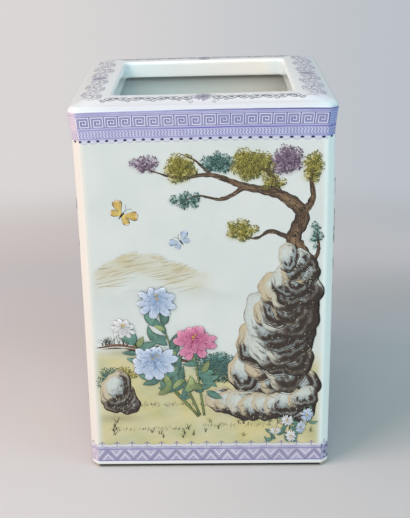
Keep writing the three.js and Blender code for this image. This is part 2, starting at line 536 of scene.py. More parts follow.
def glaze_finish():
    """White glaze with the lilac borders and the soft painted washes under it, and a bare ring at the
    foot."""
    finish = Finish("glazed_porcelain")
    place = finish.place()
    run, height, _ = finish.parts(finish.node("ShaderNodeUVMap", {"uv_map": "wrap"}))
    x, _, z = finish.parts(place)
    across, level = x * (1 / MM), z * (pot_height / (pot_height + fired_rise) / MM)
    west = across.step(20, -20)
    above = level.step

    # The hand's waver moves the lines a little, and the upper border rises towards the middle of a face.
    def waver(scale):
        return finish.noise(place, scale, 1) - 0.5

    run = run + waver(90) * 0.5
    side = run.repeat(side_run)
    bow = 1 - side * side * (1 / 3400)
    down = pot_height - height + waver(60) * 0.5
    down = top_line + (down - top_line + bow * 0.8) * 0.92
    up = height + waver(70) * 0.4
    up = (foot_line + (up - 4.1) * 0.903) | (dash_line + (up - 10.8) * 1.047)
    cell_x = (run + side_run / 2) % side_run - (side_run - face_run) / 2 + 0.3

    # Walls and plate
    grain = finish.noise(place, 900, 3, 0.6)
    wash, cover = finish.attribute("wash")
    amount = cover * (0.82 + grain * 0.36)
    # Painted highlight on the cut corners: warm on the left and cyan on the right.
    at_cut = abs(side).step(face_run / 2 - 3.0, face_run / 2 + 0.4)
    # Painted light on the plate's side edge and top: lighter and warmer to the left, cyan to the right.
    edge = finish.coats(edge_white, (across.step(-38, -60), edge_key_lit), (across.step(44, 60), edge_fill_lit))
    rim = finish.coats(rim_white, (across.step(-44, -58), rim_key_lit), (across.step(44, 58), rim_fill_lit))
    rim = finish.blend(amount, rim, wash)
    colour = finish.coats(
        finish.blend(finish.noise(place, 45, 3).step(0.3, 0.7), *glaze_white),
        (at_cut, finish.blend(west, cut_fill_highlight, cut_key_highlight)),
        (amount, wash),
        (above(pot_height - 5, pot_height - 4), edge),
        (above(pot_height - 1.4, pot_height - 0.3), rim),
    )

    # The mouth and the inside, with painted light: cool on the left, warm on the right, a cyan glow at the
    # left edge and the right lip tinted cool against the warm key light, and the plate's painted shade on the
    # wall below it
    lip = across.step(30, mouth_half) * height.step(pot_height + 12, pot_height + 10)
    inner = finish.coats(
        finish.blend(across.step(-mouth_half, mouth_half), inner_fill_lit, inner_key_lit),
        (lip, lip_key_side_cooled),
        (across.step(-36, -mouth_half), inner_fill_glow),
    )
    under_plate = above(plate_under - 4.6, plate_under - 1.4) & above(plate_under + 0.8, plate_under + 0.2)
    inner = finish.shaded(under_plate, inner, shade_deep)
    colour = finish.blend(height.step(pot_height - 0.2, pot_height + 0.9), colour, inner)

    # How the enamel lies: pooled or worn, pressed, or paled by the painted highlight on the left cut corners
    pooled = finish.noise(place, 180, 3, 0.6)
    worn = finish.noise(place, 75, 2).step(0.25, 0.6)
    pressed = finish.noise(place, 24, 1).step(0.36, 0.6)
    on_face = abs(side).step(face_run / 2 + 0.1, face_run / 2 - 0.1)
    off_face = abs(side).step(face_run / 2 - 0.9, face_run / 2 + 0.5)
    # The painted highlight on the left cut corners pales the border and fades its lines.
    cut_glare = off_face * west
    strength = 1 - cut_glare * 0.7
    heavy = pressed * 0.55 + 0.52

    # Upper border: the ground, ruled lines and the key fret
    inside = down.band(4.2, 16.7)
    ground = finish.shaded(across.step(-25, 60), finish.blend(pooled.step(0.3, 0.7), *lilac), border_shade)
    ground = finish.blend(off_face, ground, finish.blend(west, *lilac_cuts_lit))
    top_ink = finish.blend(pressed, *top_inks)
    pitch = face_run / fret_count
    fret_x, fret_y = (cell_x % pitch) - pitch / 2, fret_middle - down
    from_line = fret(fret_x, fret_y)
    in_fret = down.band(fret_from, fret_to) & on_face
    heart = abs(fret_x).step(2.2, 0.6) * abs(fret_y).step(1.8, 0.5)
    colour = finish.coats(
        colour,
        (inside * 0.94, ground),
        (down.line(top_line, 0.5) * (0.60 + pooled * 0.9) * heavy * strength, top_ink),
        (down.line(fine_line, 0.25) * (0.3 + pooled * 0.5), lilac_dark),
        (from_line.line(0.40, 0.24, 0.09) * in_fret * (0.45 + pooled * 1.0), fret_outline),
        (heart * in_fret * (0.25 + pooled * 0.75), fret_heart),
        (from_line.step(0.25, 0.07) * in_fret * (0.5 + worn * 0.5), fret_white),
        (down.line(blue_line, 0.5) * (0.45 + pooled) * heavy * strength, blue_ink),
    )

    # The braid, and swags with a dot at each cusp
    fold = abs((down - braid_from) % braid_row - braid_row / 2)
    braid = (run + fold * 1.15).repeat(1.5)
    rows = down.band(braid_from, braid_to) & fold.band(0.17, 0.72)
    dot_pitch = face_run / dot_count
    dot_x = (side + bow * 3.0 + 0.55 + dot_pitch * 13) % dot_pitch - dot_pitch / 2
    on_cut = (side + side_run / 2).repeat(side_run)
    dot_x = dot_x * on_face + on_cut * (1 - on_face)
    to_cusp = 1 - abs(dot_x) * (2 / dot_pitch)
    past_swag = down - (swag_line + (1 - to_cusp * to_cusp) * 1.25)
    past_dot = down - dot_line
    dot_far = dot_x * dot_x * 0.60 + past_dot * past_dot * 1.7
    hatch = abs(down.repeat(1.15)).step(0.36, 0.12) * inside
    colour = finish.coats(
        colour,
        (abs(braid + 0.2).step(0.42, 0.12) * rows * (0.4 + worn * 0.4), braid_white),
        (braid.line(0.45, 0.42) * rows * (0.55 + pooled), braid_ink),
        (down.line(last_line, 0.3) * (0.35 + pooled * 0.5), lilac_dark),
        (past_swag.step(0.1, -0.1) * down.step(16.5, 16.8) * on_face * 0.6, swag_fill),
        (past_swag.line(0, 0.30, 0.2) * on_face * (0.25 + pooled * 0.8), swag_ink),
        (dot_far.step(0.58, 0.30), ink_blue),
        (hatch * off_face * (0.2 + pooled * 0.5), finish.blend(west, *hatch_inks_lit)),
    )

    # Lower border: peaks over scallops, a dashed line, and chevrons
    peak_pitch, v_pitch = face_run / peak_count, face_run / chevron_count
    peak_x = abs(((cell_x + 1.1) % peak_pitch) - peak_pitch / 2)
    v_x = abs(((cell_x + 3.5) % v_pitch) - v_pitch / 2)
    in_lilac = up.step(lilac_to, 10.3) & up.step(1.7, foot_from)
    foot_ground = finish.blend(pooled.step(0.3, 0.7), *foot_lilac)
    past_scallop = up - (scallop_line - (peak_x * peak_x) * 0.045)
    slope = up + peak_x * 0.85
    dotted = (cell_x % 1.1) - 0.55
    chevron = up - v_x * 1.12
    in_band = up.band(chevrons_from, chevrons_to) * on_face
    bright = in_band * (0.65 + worn * 0.35)
    # Smudges on the cut corners, paler and weaker on the left under the painted highlight.
    smudge = finish.noise(place, 620, 2).step(0.47, 0.56) * off_face * up.band(2.8, 11)
    colour = finish.coats(
        colour,
        (in_lilac * 0.93, finish.blend(cut_glare, foot_ground, foot_lilac_cut_highlight)),
        (past_scallop.line(0, 0.95, 0.2) * 0.85, scallop_white),
        (past_scallop.line(0.55, 0.2, 0.15) * 0.5, lilac_dark),
        (slope.line(peak_line, 0.55, 0.2) * peak_x.step(1.75, 1.5) * 0.8, peak_ink),
        (peak_x.step(0.42, 0.15) * up.band(lilac_to, 13.2) * 0.8, stem_ink),
        (up.line(dash_line, 0.45) * (0.45 + abs(dotted)), lilac_dark),
        (abs(chevron.repeat(1.15)).step(0.30, 0.12) * in_band * 0.45, stripe_ink),
        (chevron.line(3.2, 1.0, 0.3) * in_band * (0.30 + pooled * 0.8), chevron_ink),
        (chevron.line(5.5, 0.62, 0.15) * bright, chevron_white),
        (chevron.line(0.92, 0.54, 0.15) * bright, chevron_white),
        (chevron.line(7.0, 0.40, 0.15) * in_band * 0.6, chevron_grey),
        (smudge * (0.85 - west * 0.25), finish.blend(west, *smudge_inks_lit)),
        (up.line(foot_line, 0.5) * 0.8 * strength, lilac_dark),
        (up.step(2.7, 2.3), foot_white),
    )

    # Bare clay where the foot stands, with a painted contact shadow along its outer edge, weaker on the cut
    # corners
    bare = above(2.20, 1.90)
    contact_shadowed = above(0.55, 0.85) * (1 - off_face * 0.75)
    clay = finish.coats(biscuit, (grain, biscuit_pale), (contact_shadowed, contact_shadow))
    skin = finish.noise(place, 160, 2) * 0.6 + finish.noise(place, 1500, 2) * 0.10
    finish.surface(
        Base_Color=finish.blend(bare, colour, clay),
        Roughness=0.10 + finish.noise(place, 120, 3) * 0.10 + bare * 0.5,
        Normal=finish.bump(skin, 0.0004, 0.25),
        IOR=1.5,
    )
    return finish.material


# Overglaze enamels. A tone is a root or light colour, a tip or dark one, and a rim.
ink, umber, rock_brown, bark_pale = np.array([
    (0.020, 0.014, 0.012), (0.115, 0.060, 0.032), (0.085, 0.055, 0.036), (0.31, 0.205, 0.115),
])
rose, violet, sky_blue, pollen = np.array([
    (0.53, 0.060, 0.235), (0.30, 0.17, 0.46), (0.26, 0.42, 0.70), (0.78, 0.58, 0.10),
])
rose_pale, violet_pale, sky_pale, petal_white = np.array([
    (0.76, 0.38, 0.53), (0.60, 0.55, 0.76), (0.62, 0.72, 0.84), (0.83, 0.83, 0.84),
])
leaf_light, leaf_ochre = np.array([(0.36, 0.46, 0.16), (0.47, 0.41, 0.12)])
rock_light, rock_blue, rock_warm, rock_pit = np.array([
    (0.66, 0.71, 0.68), (0.30, 0.38, 0.41), (0.60, 0.48, 0.29), (0.50, 0.51, 0.42),
])
bank_ochre, bank_green, damp, far_ochre, far_blue = np.array([
    (0.655, 0.570, 0.255), (0.500, 0.485, 0.205), (0.27, 0.23, 0.13), (0.56, 0.50, 0.30), (0.50, 0.56, 0.55),
])
scroll_ink, scroll_wash, scroll_pale = np.array([
    (0.165, 0.165, 0.265), (0.52, 0.54, 0.65), (0.36, 0.37, 0.50),
])
grass_ink, sedge_ink, row_ink = np.array([(0.10, 0.11, 0.05), (0.055, 0.06, 0.04), (0.20, 0.185, 0.135)])
stem_green, stem_light, ridge_ink = np.array([(0.10, 0.16, 0.06), (0.28, 0.34, 0.14), (0.42, 0.33, 0.18)])

yellow_leaf = np.array([(0.50, 0.43, 0.08), (0.22, 0.24, 0.05), (0.040, 0.045, 0.020)])
purple_leaf = np.array([(0.40, 0.29, 0.40), (0.20, 0.13, 0.22), (0.050, 0.030, 0.050)])
teal_leaf = np.array([(0.13, 0.29, 0.26), (0.045, 0.140, 0.130), (0.012, 0.035, 0.035)])
deep_leaf = np.array([(0.085, 0.205, 0.180), (0.125, 0.260, 0.195), (0.015, 0.04, 0.03)])
fresh_leaf = np.array([(0.17, 0.26, 0.12), (0.33, 0.38, 0.17), (0.03, 0.07, 0.02)])
bud_leaf = np.array([leaf_ochre, leaf_light, (0.12, 0.15, 0.05)])
cane_tone = np.array([(0.13, 0.25, 0.17), (0.30, 0.40, 0.24), (0.02, 0.05, 0.03)])
cane_leaf = np.array([(0.045, 0.15, 0.11), (0.10, 0.25, 0.17), (0.012, 0.035, 0.025)])
pink = np.array([rose, rose_pale, rose * 0.55])
blush = np.array([(0.72, 0.25, 0.38), (0.86, 0.74, 0.76), (0.36, 0.10, 0.18)])
blue = np.array([sky_blue, (0.74, 0.80, 0.87), (0.09, 0.13, 0.28)])
mauve = np.array([violet, violet_pale, violet * 0.5])
milk = np.array([(0.62, 0.64, 0.68), petal_white, (0.20, 0.19, 0.24)])
gold = np.array([(0.66, 0.42, 0.08), (0.84, 0.72, 0.34), (0.36, 0.19, 0.05)])
gold_wings = np.array([(0.80, 0.62, 0.20), (0.35, 0.16, 0.05), ink])
blue_wings = np.array([sky_pale, sky_blue, (0.03, 0.04, 0.14)])

# The painted part of a face, and where the light comes from in it
picture_half, picture_foot, picture_top = 57.4, 14.6, 174.2
tree_half, picture_reach = 53, 56
light_angle = math.radians(128)
finest, edge_drop, least_edge = 0.03, 0.07, 0.004
blossom_from, blossom_to, blossom_gap = 104, 169, 4.6
seed_turn, fold_turn = 2.4, 0.618

# How far out of the glaze the parts of a picture stand
ridge_lift, row_lift, bank_lift, bush_lift, rock_lift, fold_step = 0.04, 0.05, 0.06, 0.08, 0.12, 0.008
bough_lift, bough_step, cane_step, twig_lift, clump_lift = 0.10, 0.002, 0.03, 0.07, 0.2
young_leaf_lift, bloom_lift, bloom_step, bud_foot_lift = 0.12, 0.20, 0.002, 0.24
stem_lift, leaf_lift, fresh_lift, head_lift = 0.42, 0.44, 0.56, 0.74
tuft_lift, low_leaf_lift, aster_lift, wing_lift, scroll_lift = 0.06, 0.40, 0.52, 0.12, 0.03


def mixed(a, b, share):
    """Colours between a and b for an array of shares: b weighs the share, and a the rest."""
    share = np.asarray(share, float)[..., None]
    return a * (1 - share) + b * share


def bent(start, control, end, stations):
    """Paths from start to end drawn towards a control point, one for each row: at a share t of the way the
    start weighs (1 - t) squared, the control point twice t times 1 - t, and the end t squared."""
    t = np.linspace(0, 1, stations)[:, None]
    a, b, c = (np.asarray(p, float)[..., None, :] for p in (start, control, end))
    return a * (1 - t) ** 2 + 2 * b * t * (1 - t) + c * t**2


def between(start, end, stations, off=0):
    """Paths from start to end drawn off their straight line: the control point is the middle, moved off."""
    return bent(start, np.add(start, end) / 2 + off, end, stations)


def strewn(spots, many, spread, rng):
    """Each spot many times over, scattered about it."""
    return np.repeat(spots, many, 0) + rng.normal(0, spread, (len(spots) * many, 2))


def through(knots, stations):
    """A smooth path through knots, stepped evenly by its length: between two knots it is a cubic, whose slope
    at each knot is half the way from the knot before to the knot after."""
    knots = np.asarray(knots, float)
    wide = np.concatenate([2 * knots[:1] - knots[1:2], knots, 2 * knots[-1:] - knots[-2:-1]])
    t = np.linspace(0, 1, 16, endpoint=False)[:, None]
    spans = []
    for p0, p1, p2, p3 in zip(wide, wide[1:], wide[2:], wide[3:]):
        cubic = 3 * p1 - p0 - 3 * p2 + p3
        spans.append(p1 + 0.5 * ((p2 - p0) * t + (2 * p0 - 5 * p1 + 4 * p2 - p3) * t**2 + cubic * t**3))
    dense = np.concatenate([*spans, wide[-2:-1]])
    run = run_along(dense)
    even = np.linspace(0, run[-1], stations)
    return np.stack([np.interp(even, run, axis) for axis in dense.T], 1)


def shares_of(values, count):
    """A list of values spread evenly over a count of stations."""
    return np.interp(np.linspace(0, 1, count), np.linspace(0, 1, len(values)), values)


def normals_of(path):
    """The left-hand normals of paths: their unit directions, turned by a quarter."""
    along = np.gradient(path, axis=-2)
    along /= np.maximum(np.linalg.norm(along, axis=-1, keepdims=True), 1e-9)
    return np.stack([-along[..., 1], along[..., 0]], -1)


def turned(points, angle):
    """Points turned about the origin, each row by its own angle."""
    c, s = np.cos(angle), np.sin(angle)
    x, y = points[..., 0], points[..., 1]
    return np.stack([x * c - y * s, x * s + y * c], -1)


def blade(stations, fullest=0.5, blunt=0.75):
    """A brush mark's half-width along its length, from 0 to 1 and back: half a sine wave raised to a power,
    with the share of the way raised to another so that it is fullest where it is asked for."""
    t = np.linspace(0, 1, stations) ** (math.log(0.5) / math.log(fullest))
    return np.sin(math.pi * t) ** blunt


def volute(centre, radius, start, turn, stations):
    """A curl that winds in to its centre: as the angle turns, the radius falls by a power of what is left."""
    t = np.linspace(0, 1, stations)
    return np.asarray(centre) + (radius * (1 - t) ** 0.75)[:, None] * aim(start + turn * TAU * 1.15 * t)


class Brushwork:
    """Enamel strokes on one surface: each is a low closed body with a lens or ridge for a section, whose
    path runs over the surface. They are gathered as arrays and made into one mesh with a colour at each
    vertex."""

    def __init__(self, name, place):
        self.name, self.place = name, place
        self.points, self.colours, self.cells, self.index = [], [], [], []
        self.count, self.strokes = 0, 0

    def gather(self, points, colours, triangles, cell):
        """Keeps bodies of one build: points, colours, a body's triangles, and its points in a map cell."""
        many, size = points.shape[:2]
        self.index.append((triangles + self.count + np.arange(many)[:, None, None] * size).reshape(-1, 3))
        self.points.append(points.reshape(-1, 3))
        self.colours.append(colours.reshape(-1, 3))
        self.cells.append((np.broadcast_to(cell, (many, size, 2)), self.strokes + np.arange(many)))
        self.count += many * size
        self.strokes += many

    def lay(self, path, width, colour, rim=None, heart=None, lift=0.08, wide=False):
        """Strokes along paths (strokes, stations, 2) with half-widths, a body colour, and if wide a rim and
        a heart. The section is three points across, or five if wide, lowest at its edges and at both
        ends."""
        path = np.asarray(path, float)
        path = path[None] if path.ndim == 2 else path
        many, stations = path.shape[:2]
        half = np.maximum(np.broadcast_to(width, (many, stations)), finest)
        across = np.array([-1, -0.78, 0, 0.78, 1] if wide else [-1.0, 0, 1])
        sides = len(across)
        flat = path[:, :, None] + normals_of(path)[:, :, None] * (half[:, :, None] * across)[..., None]
        high = np.broadcast_to(np.reshape(lift, (-1, 1, 1)), (many, stations, sides)).astype(float)
        high[:, :, [0, -1]] = np.maximum(high[:, :, [0, -1]] - edge_drop, least_edge)
        high[:, [0, -1]] *= 0.5
        points = self.place(flat[..., 0], flat[..., 1], high).reshape(many, -1, 3)
        tones = (colour if tone is None else tone for tone in (None, rim, heart))
        body, edge, middle = (np.broadcast_to(tone, (many, stations, 3)) for tone in tones)
        shades = np.stack([edge, body, middle, body, edge] if wide else [edge, middle, edge], 2)
        fan = np.arange(1, sides - 1)
        start = np.stack([np.zeros_like(fan), fan, fan + 1], 1)
        end = (stations - 1) * sides + start[:, ::-1]
        triangles = np.concatenate([wound(stations, sides)[:, ::-1], start, end])
        cell = np.meshgrid(np.linspace(0.1, 0.9, stations), np.linspace(0.1, 0.9, sides), indexing="ij")
        self.gather(points, shades, triangles, np.stack(cell, -1).reshape(-1, 2))

    def patch(self, edge, eye, shades, lift):
        """A low closed body from an anticlockwise outline, drawn in to an eye, with colours for rings from
        the edge in."""
        rings, many = shades.shape[:2]
        share = np.linspace(1, 0.06, rings)[:, None, None]
        flat = np.concatenate([(eye + (edge - eye) * share).reshape(-1, 2), eye[None], edge.mean(0)[None]])
        high = np.full(len(flat), float(lift))
        high[:many] = high[-1] = least_edge
        here, ahead = np.arange(many), np.roll(np.arange(many), -1)
        last, eye_at = (rings - 1) * many, np.full(many, rings * many)
        over = np.stack([last + here, last + ahead, eye_at], -1)
        under = np.stack([ahead, here, eye_at + 1], -1)
        colours = np.concatenate([shades.reshape(-1, 3), shades[-1].mean(0)[None], shades[0].mean(0)[None]])
        cell = np.concatenate([(aim(here * TAU / many) * share * 0.4).reshape(-1, 2), np.zeros((2, 2))]) + 0.5
        points = self.place(flat[:, 0], flat[:, 1], high)
        self.gather(points[None], colours, np.concatenate([wound(rings, many), over, under]), cell)

    def make(self, finish):
        """The mesh, with its colours in "enamel" and a bake map that gives each stroke a cell."""
        index = np.concatenate(self.index)
        piece = mesh_object(self.name, fired_warp(np.concatenate(self.points)), index)
        put_colours(piece, "enamel", np.concatenate(self.colours), np.ones(self.count))
        across = math.ceil(math.sqrt(self.strokes))
        places = np.concatenate([
            (cell + np.stack([which % across, which // across], -1)[:, None]).reshape(-1, 2)
            for cell, which in self.cells
        ])
        put_map(piece, "OFBake", (places / across)[index.ravel()])
        piece.data.materials.append(finish)
        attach(piece, "root")


def to_side(turns, x, y):
    """x and y turned about the pot's axis by a number of quarter turns."""
    c, s = round(math.cos(turns * quarter)), round(math.sin(turns * quarter))
    return x * c - y * s, x * s + y * c


def on_face(turns):
    """Places points given across a face, up it and out from it, on the face so many quarter turns round."""
    def place(u, z, out):
        x, y = to_side(turns, np.clip(u, -picture_half, picture_half), -(wall_half + out))
        return np.stack([x, y, np.clip(z, picture_foot, picture_top)], -1)

    return place


def on_plate(turns, stretch):
    """Places points given along a rim of the top plate, across it towards the mouth and stretched that way,
    and up from its crowned face."""
    outer, inner = plate_half - plate_edge_radius, mouth_half + mouth_edge_radius

    def place(along, across, out):
        x, y = along, np.clip(across * stretch - rim_middle, -outer, -inner)
        share = np.clip((outer - np.maximum(np.abs(x), np.abs(y))) / (outer - inner), 0, 1)
        z = pot_height - plate_crown * (1 - share) ** crown_power + out
        return np.stack([*to_side(turns, x, y), z], -1)

    return place


def dots(brush, centres, size, colour, lift, rng):
    """Small round touches of the brush."""
    half = np.broadcast_to(size, len(centres))[:, None]
    reach = half * 1.2 * aim(rng.uniform(0, math.pi, len(centres)))
    path = bent(centres - reach, centres, centres + reach, 5)
    brush.lay(path, np.array([0.35, 0.85, 1.0, 0.85, 0.35]) * half, colour, lift=lift)


# Flowers, leaves and butterflies
def flower(brush, centre, size, petals, tone, lift, rng, squash=1.0, lean=0.0, blunt=0.55, fullest=0.66):
    """A ring of petals round a centre, squashed one way and then turned by a lean. Each is a wide stroke,
    deep at its root and pale at its tip, with a fine rim."""
    root, tip, rim = tone
    angle = np.arange(petals) * TAU / petals + rng.uniform(0, TAU) + rng.normal(0, 0.08, petals)
    reach = size * rng.uniform(0.9, 1.08, petals)
    start = np.stack([reach * 0.06, np.zeros(petals)], 1)
    tips = np.stack([reach, rng.normal(0, 0.06, petals) * size], 1)
    control = tips * 0.5 + rng.normal(0, 0.05, (petals, 2)) * size
    path = turned(bent(start, control, tips, 8), angle[:, None])
    path[..., 1] *= squash
    wide = math.sin(math.pi / petals) * 1.25 * size * min(1, 0.75 + 0.05 * petals)
    squeeze = np.sqrt(np.cos(angle) ** 2 * squash**2 + np.sin(angle) ** 2)[:, None]
    width = blade(8, fullest, blunt) * wide * 0.5 * squeeze * rng.uniform(0.9, 1.1, (petals, 1))
    t = np.linspace(0, 1, 8)
    body, heart = mixed(root, tip, t**0.8), mixed(root, tip, t**1.6)
    lifts = lift + np.arange(petals) * 0.006
    brush.lay(turned(path, lean) + centre, width, body, rim, heart, lifts, wide=True)


def blossom(brush, centre, size, tone, lift, rng):
    """A five-petalled blossom with stamens round a green eye."""
    lean, squash = rng.uniform(0, TAU), rng.uniform(0.62, 1.0)
    flower(brush, centre, size, 5, tone, lift, rng, squash, lean, 0.5, 0.62)
    stamens = 9
    angle = np.arange(stamens) * TAU / stamens + rng.normal(0, 0.1, stamens)
    ends = turned(aim(angle) * size * 0.5 * [1, squash], lean) + centre
    starts = np.broadcast_to(centre, ends.shape)
    brush.lay(between(starts, ends, 3), 0.055, rose * 0.6, lift=lift + 0.05)
    dots(brush, ends, 0.17, pollen, lift + 0.07, rng)
    dots(brush, centre[None], size * 0.13, leaf_light, lift + 0.06, rng)


def leaves(brush, roots, angles, lengths, tone, lift, rng, slim=0.24, veins=True, bend=0.25):
    """Leaves as wide strokes from their roots, with a pale midrib, side veins and a dark rim."""
    near, far, rim = tone
    many, stations = len(roots), 9
    sway = rng.normal(0, bend, many)
    ends = roots + lengths[:, None] * aim(angles)
    path = between(roots, ends, stations, (lengths * sway)[:, None] * aim(angles + quarter))
    width = blade(stations, 0.42, 0.8) * (lengths * slim * rng.uniform(0.85, 1.15, many))[:, None]
    body = mixed(near, far, np.linspace(0, 1, stations)) * (1 + rng.uniform(-0.25, 0.25, (many, 1, 1)))
    lifts = lift + np.arange(many) * 0.001
    brush.lay(path, width, body, rim, body * 1.25 + 0.03, lifts, wide=True)
    if veins:
        normal = normals_of(path)
        for at in range(2, 7):
            for side in (-0.8, 0.8):
                tip = path[:, at + 1] + side * normal[:, at + 1] * width[:, [at + 1]]
                brush.lay(between(path[:, at], tip, 3), 0.06, rim, lift=lifts + 0.03)
        brush.lay(path, 0.09, rim, lift=lifts + 0.035)


def peony(brush, centre, size, tone, lift, rng):
    """A full peony: rings of broad petals, each ring smaller, deeper in colour and set on the one before."""
    root, tip, rim = tone
    lean = rng.uniform(-0.5, 0.5)
    for ring, (share, petals) in enumerate(((1.0, 9), (0.82, 9), (0.64, 8), (0.46, 7), (0.30, 6))):
        deep = mixed(root, root * 0.75, ring / 4)
        light = mixed(tip, mixed(tip, root, 0.45), ring / 4)
        middle = centre + [0, size * 0.07 * ring]
        high = lift + 0.06 * ring
        flower(brush, middle, size * share, petals, (deep, light, rim), high, rng, 0.82, lean, 0.42, 0.7)
    stamens = centre + rng.normal(0, 0.07, (9, 2)) * size + [0, size * 0.28]
    dots(brush, stamens, 0.32, pollen, lift + 0.4, rng)


def aster(brush, centre, size, tone, lift, rng):
    """A daisy-like flower: two rings of narrow petals round a stippled yellow eye."""
    lean, squash = rng.uniform(0, TAU), rng.uniform(0.6, 0.95)
    for share, petals, step in ((1.0, 17, 0.0), (0.8, 15, 0.08)):
        flower(brush, centre, size * share, petals, tone, lift + step, rng, squash, lean, 0.7, 0.6)
    dots(brush, rng.normal(0, 0.09, (12, 2)) * size + centre, size * 0.055, pollen, lift + 0.2, rng)


def butterfly(brush, centre, size, angle, tone, lift, rng):
    """Two pairs of wings with spotted edges, a dark body and long feelers."""
    pale, deep, rim = tone
    heading, aside = aim(angle), aim(angle + quarter)
    for side in (-1, 1):
        for share, lean, full in ((1.0, 0.95, 0.72), (0.72, 2.0, 0.6)):
            tip = size * share * aim(angle + side * lean)
            path = bent((0, 0), tip * 0.55 + size * 0.12 * side * aside, tip, 9) + centre
            width = blade(9, full, 0.5) * size * share * 0.30
            body = mixed(pale, deep, np.linspace(0, 1, 9) ** 2)
            brush.lay(path, width, body, rim, pale, lift + 0.02 * share, wide=True)
            normal = normals_of(path)
            for rib in (-0.5, -0.17, 0.17, 0.5):
                brush.lay((path + normal * (width * rib)[:, None])[1:8], 0.05, rim, lift=lift + 0.06)
            spots = path[7] + normal[7] * np.linspace(-0.6, 0.6, 4)[:, None] * width[7]
            dots(brush, spots, size * 0.035, petal_white, lift + 0.08, rng)
    body = bent(centre - heading * size * 0.34, centre, centre + heading * size * 0.26, 7)
    brush.lay(body, blade(7, 0.6, 0.6) * size * 0.06, ink, lift=lift + 0.1)
    for side in (-1, 1):
        start = centre + heading * size * 0.24
        end = start + heading * size * 0.42 + aside * side * size * 0.26
        brush.lay(bent(start, start + heading * size * 0.3, end, 6), 0.06, ink, lift=lift + 0.08)


def grass(brush, roots, height, blades, colour, lift, rng):
    """Tufts of fine blades that fan out from their roots."""
    roots = np.repeat(roots, blades, 0)
    many = len(roots)
    angle = quarter + rng.normal(0, 0.42, many)
    tall = height * rng.uniform(0.55, 1.15, (many, 1))
    roots = roots + rng.normal(0, 0.35, (many, 2)) * [1, 0.2]
    ends = roots + tall * aim(angle) * [1.2, 1]
    control = roots + tall * np.stack([np.cos(angle) * 0.2, np.full(many, 0.62)], 1)
    shade = colour * rng.uniform(0.7, 1.3, (many, 1))
    width = np.array([0.12, 0.13, 0.11, 0.08, 0.03])
    brush.lay(bent(roots, control, ends, 5), width, shade[:, None], lift=lift)


# Trees
def limb(brush, knots, widths, lift, rng):
    """A branch: a wide stroke with dark edges and pale patches, broken bark marks that wrap it, and a few
    knots."""
    run = np.linalg.norm(np.diff(np.asarray(knots, float), axis=0), axis=1).sum()
    stations = max(8, int(run / 1.3))
    path = through(knots, stations)
    normal = normals_of(path)
    s = np.linspace(0, 1, stations) * run
    width = shares_of(widths, stations)
    width = width * (1 + 0.16 * np.sin(s / 2.6 + rng.uniform(0, TAU)) * np.sin(s / 1.1 + 1))
    patch = 0.5 + 0.5 * np.sin(s / 3.7 + rng.uniform(0, TAU))
    heart = mixed(umber, bark_pale, patch * np.minimum(1, width / 2))
    brush.lay(path, width, mixed(rock_brown, umber, patch * 0.7), ink, heart, lift, wide=True)
    marks = int(run * 3.4)
    if width.max() < 0.7:
        return path
    at = rng.integers(1, stations - 4, marks)
    side = rng.uniform(-0.85, 0.85, marks)
    start = path[at] + normal[at] * (side * width[at])[:, None]
    end_at = np.minimum(at + rng.integers(1, 5, marks), stations - 1)
    drift = np.clip(side + rng.normal(0, 0.35, marks), -0.95, 0.95)
    end = path[end_at] + normal[end_at] * (drift * width[end_at])[:, None]
    size = rng.uniform(0.12, 0.40, marks) * np.minimum(1, width[at] / 1.5)
    shade = np.where(rng.uniform(0, 1, (marks, 1, 1)) < 0.22, bark_pale, ink)
    scores = between(start, end, 5, rng.normal(0, 0.3, (marks, 2)))
    brush.lay(scores, blade(5, 0.4, 0.7) * size[:, None], shade, lift=lift + 0.03)
    for spot in rng.integers(3, max(4, int(stations * 0.6)), int(run / 26)):
        if width[spot] > 2:
            hub = path[spot] + normal[spot] * width[spot] * rng.uniform(-0.3, 0.3)
            eye = volute(hub, width[spot] * 0.55, 0, 1, 22)
            brush.lay(eye, 0.26, ink, lift=lift + 0.06)
            dots(brush, eye[-1:], width[spot] * 0.18, ink, lift + 0.07, rng)
    return path


def bamboo(brush, foot, top, width, lift, rng):
    """A cane of jointed lengths that flare at the joints, with sprays of slim leaves from its upper ones."""
    near, far, rim = cane_tone
    joints = int(math.dist(foot, top) / 12)
    knots = between(foot, top, joints + 1, [rng.uniform(-3, 3), 0])
    t = np.linspace(0.03, 0.97, 7)[:, None]
    parts = knots[:-1, None] * (1 - t) + knots[1:, None] * t
    half = np.linspace(width, width * 0.5, joints)[:, None] * (0.86 + 0.2 * (2 * t[:, 0] - 1) ** 4)
    brush.lay(parts, half, mixed(near, far, t[:, 0]), rim, far * 1.25, lift, wide=True)
    aside = normals_of(knots)[1:-1] * half[1:, :1] * 1.3
    inner = knots[1:-1]
    brush.lay(bent(inner - aside, inner + [0, -0.5], inner + aside, 6), 0.26, ink, lift=lift + 0.06)
    upper = np.repeat(knots[joints // 3:], 2, 0)
    side = np.where(np.arange(len(upper)) % 2, 1.0, -1.0)
    reach = rng.uniform(4, 12, len(upper))
    ends = upper + np.stack([side * reach, rng.uniform(-1, 5, len(upper))], 1)
    brush.lay(between(upper, ends, 6, [0, 1.5]), np.linspace(0.3, 0.12, 6), rim, lift=lift)
    roots = strewn(ends, 5, 0.5, rng)
    angles = -0.75 + rng.normal(0, 0.5, len(roots))
    angles = np.where(np.repeat(side, 5) > 0, angles, math.pi - angles)
    lengths = rng.uniform(7, 13, len(roots))
    leaves(brush, roots, angles, lengths, cane_leaf, lift + 0.08, rng, 0.085, False, 0.08)


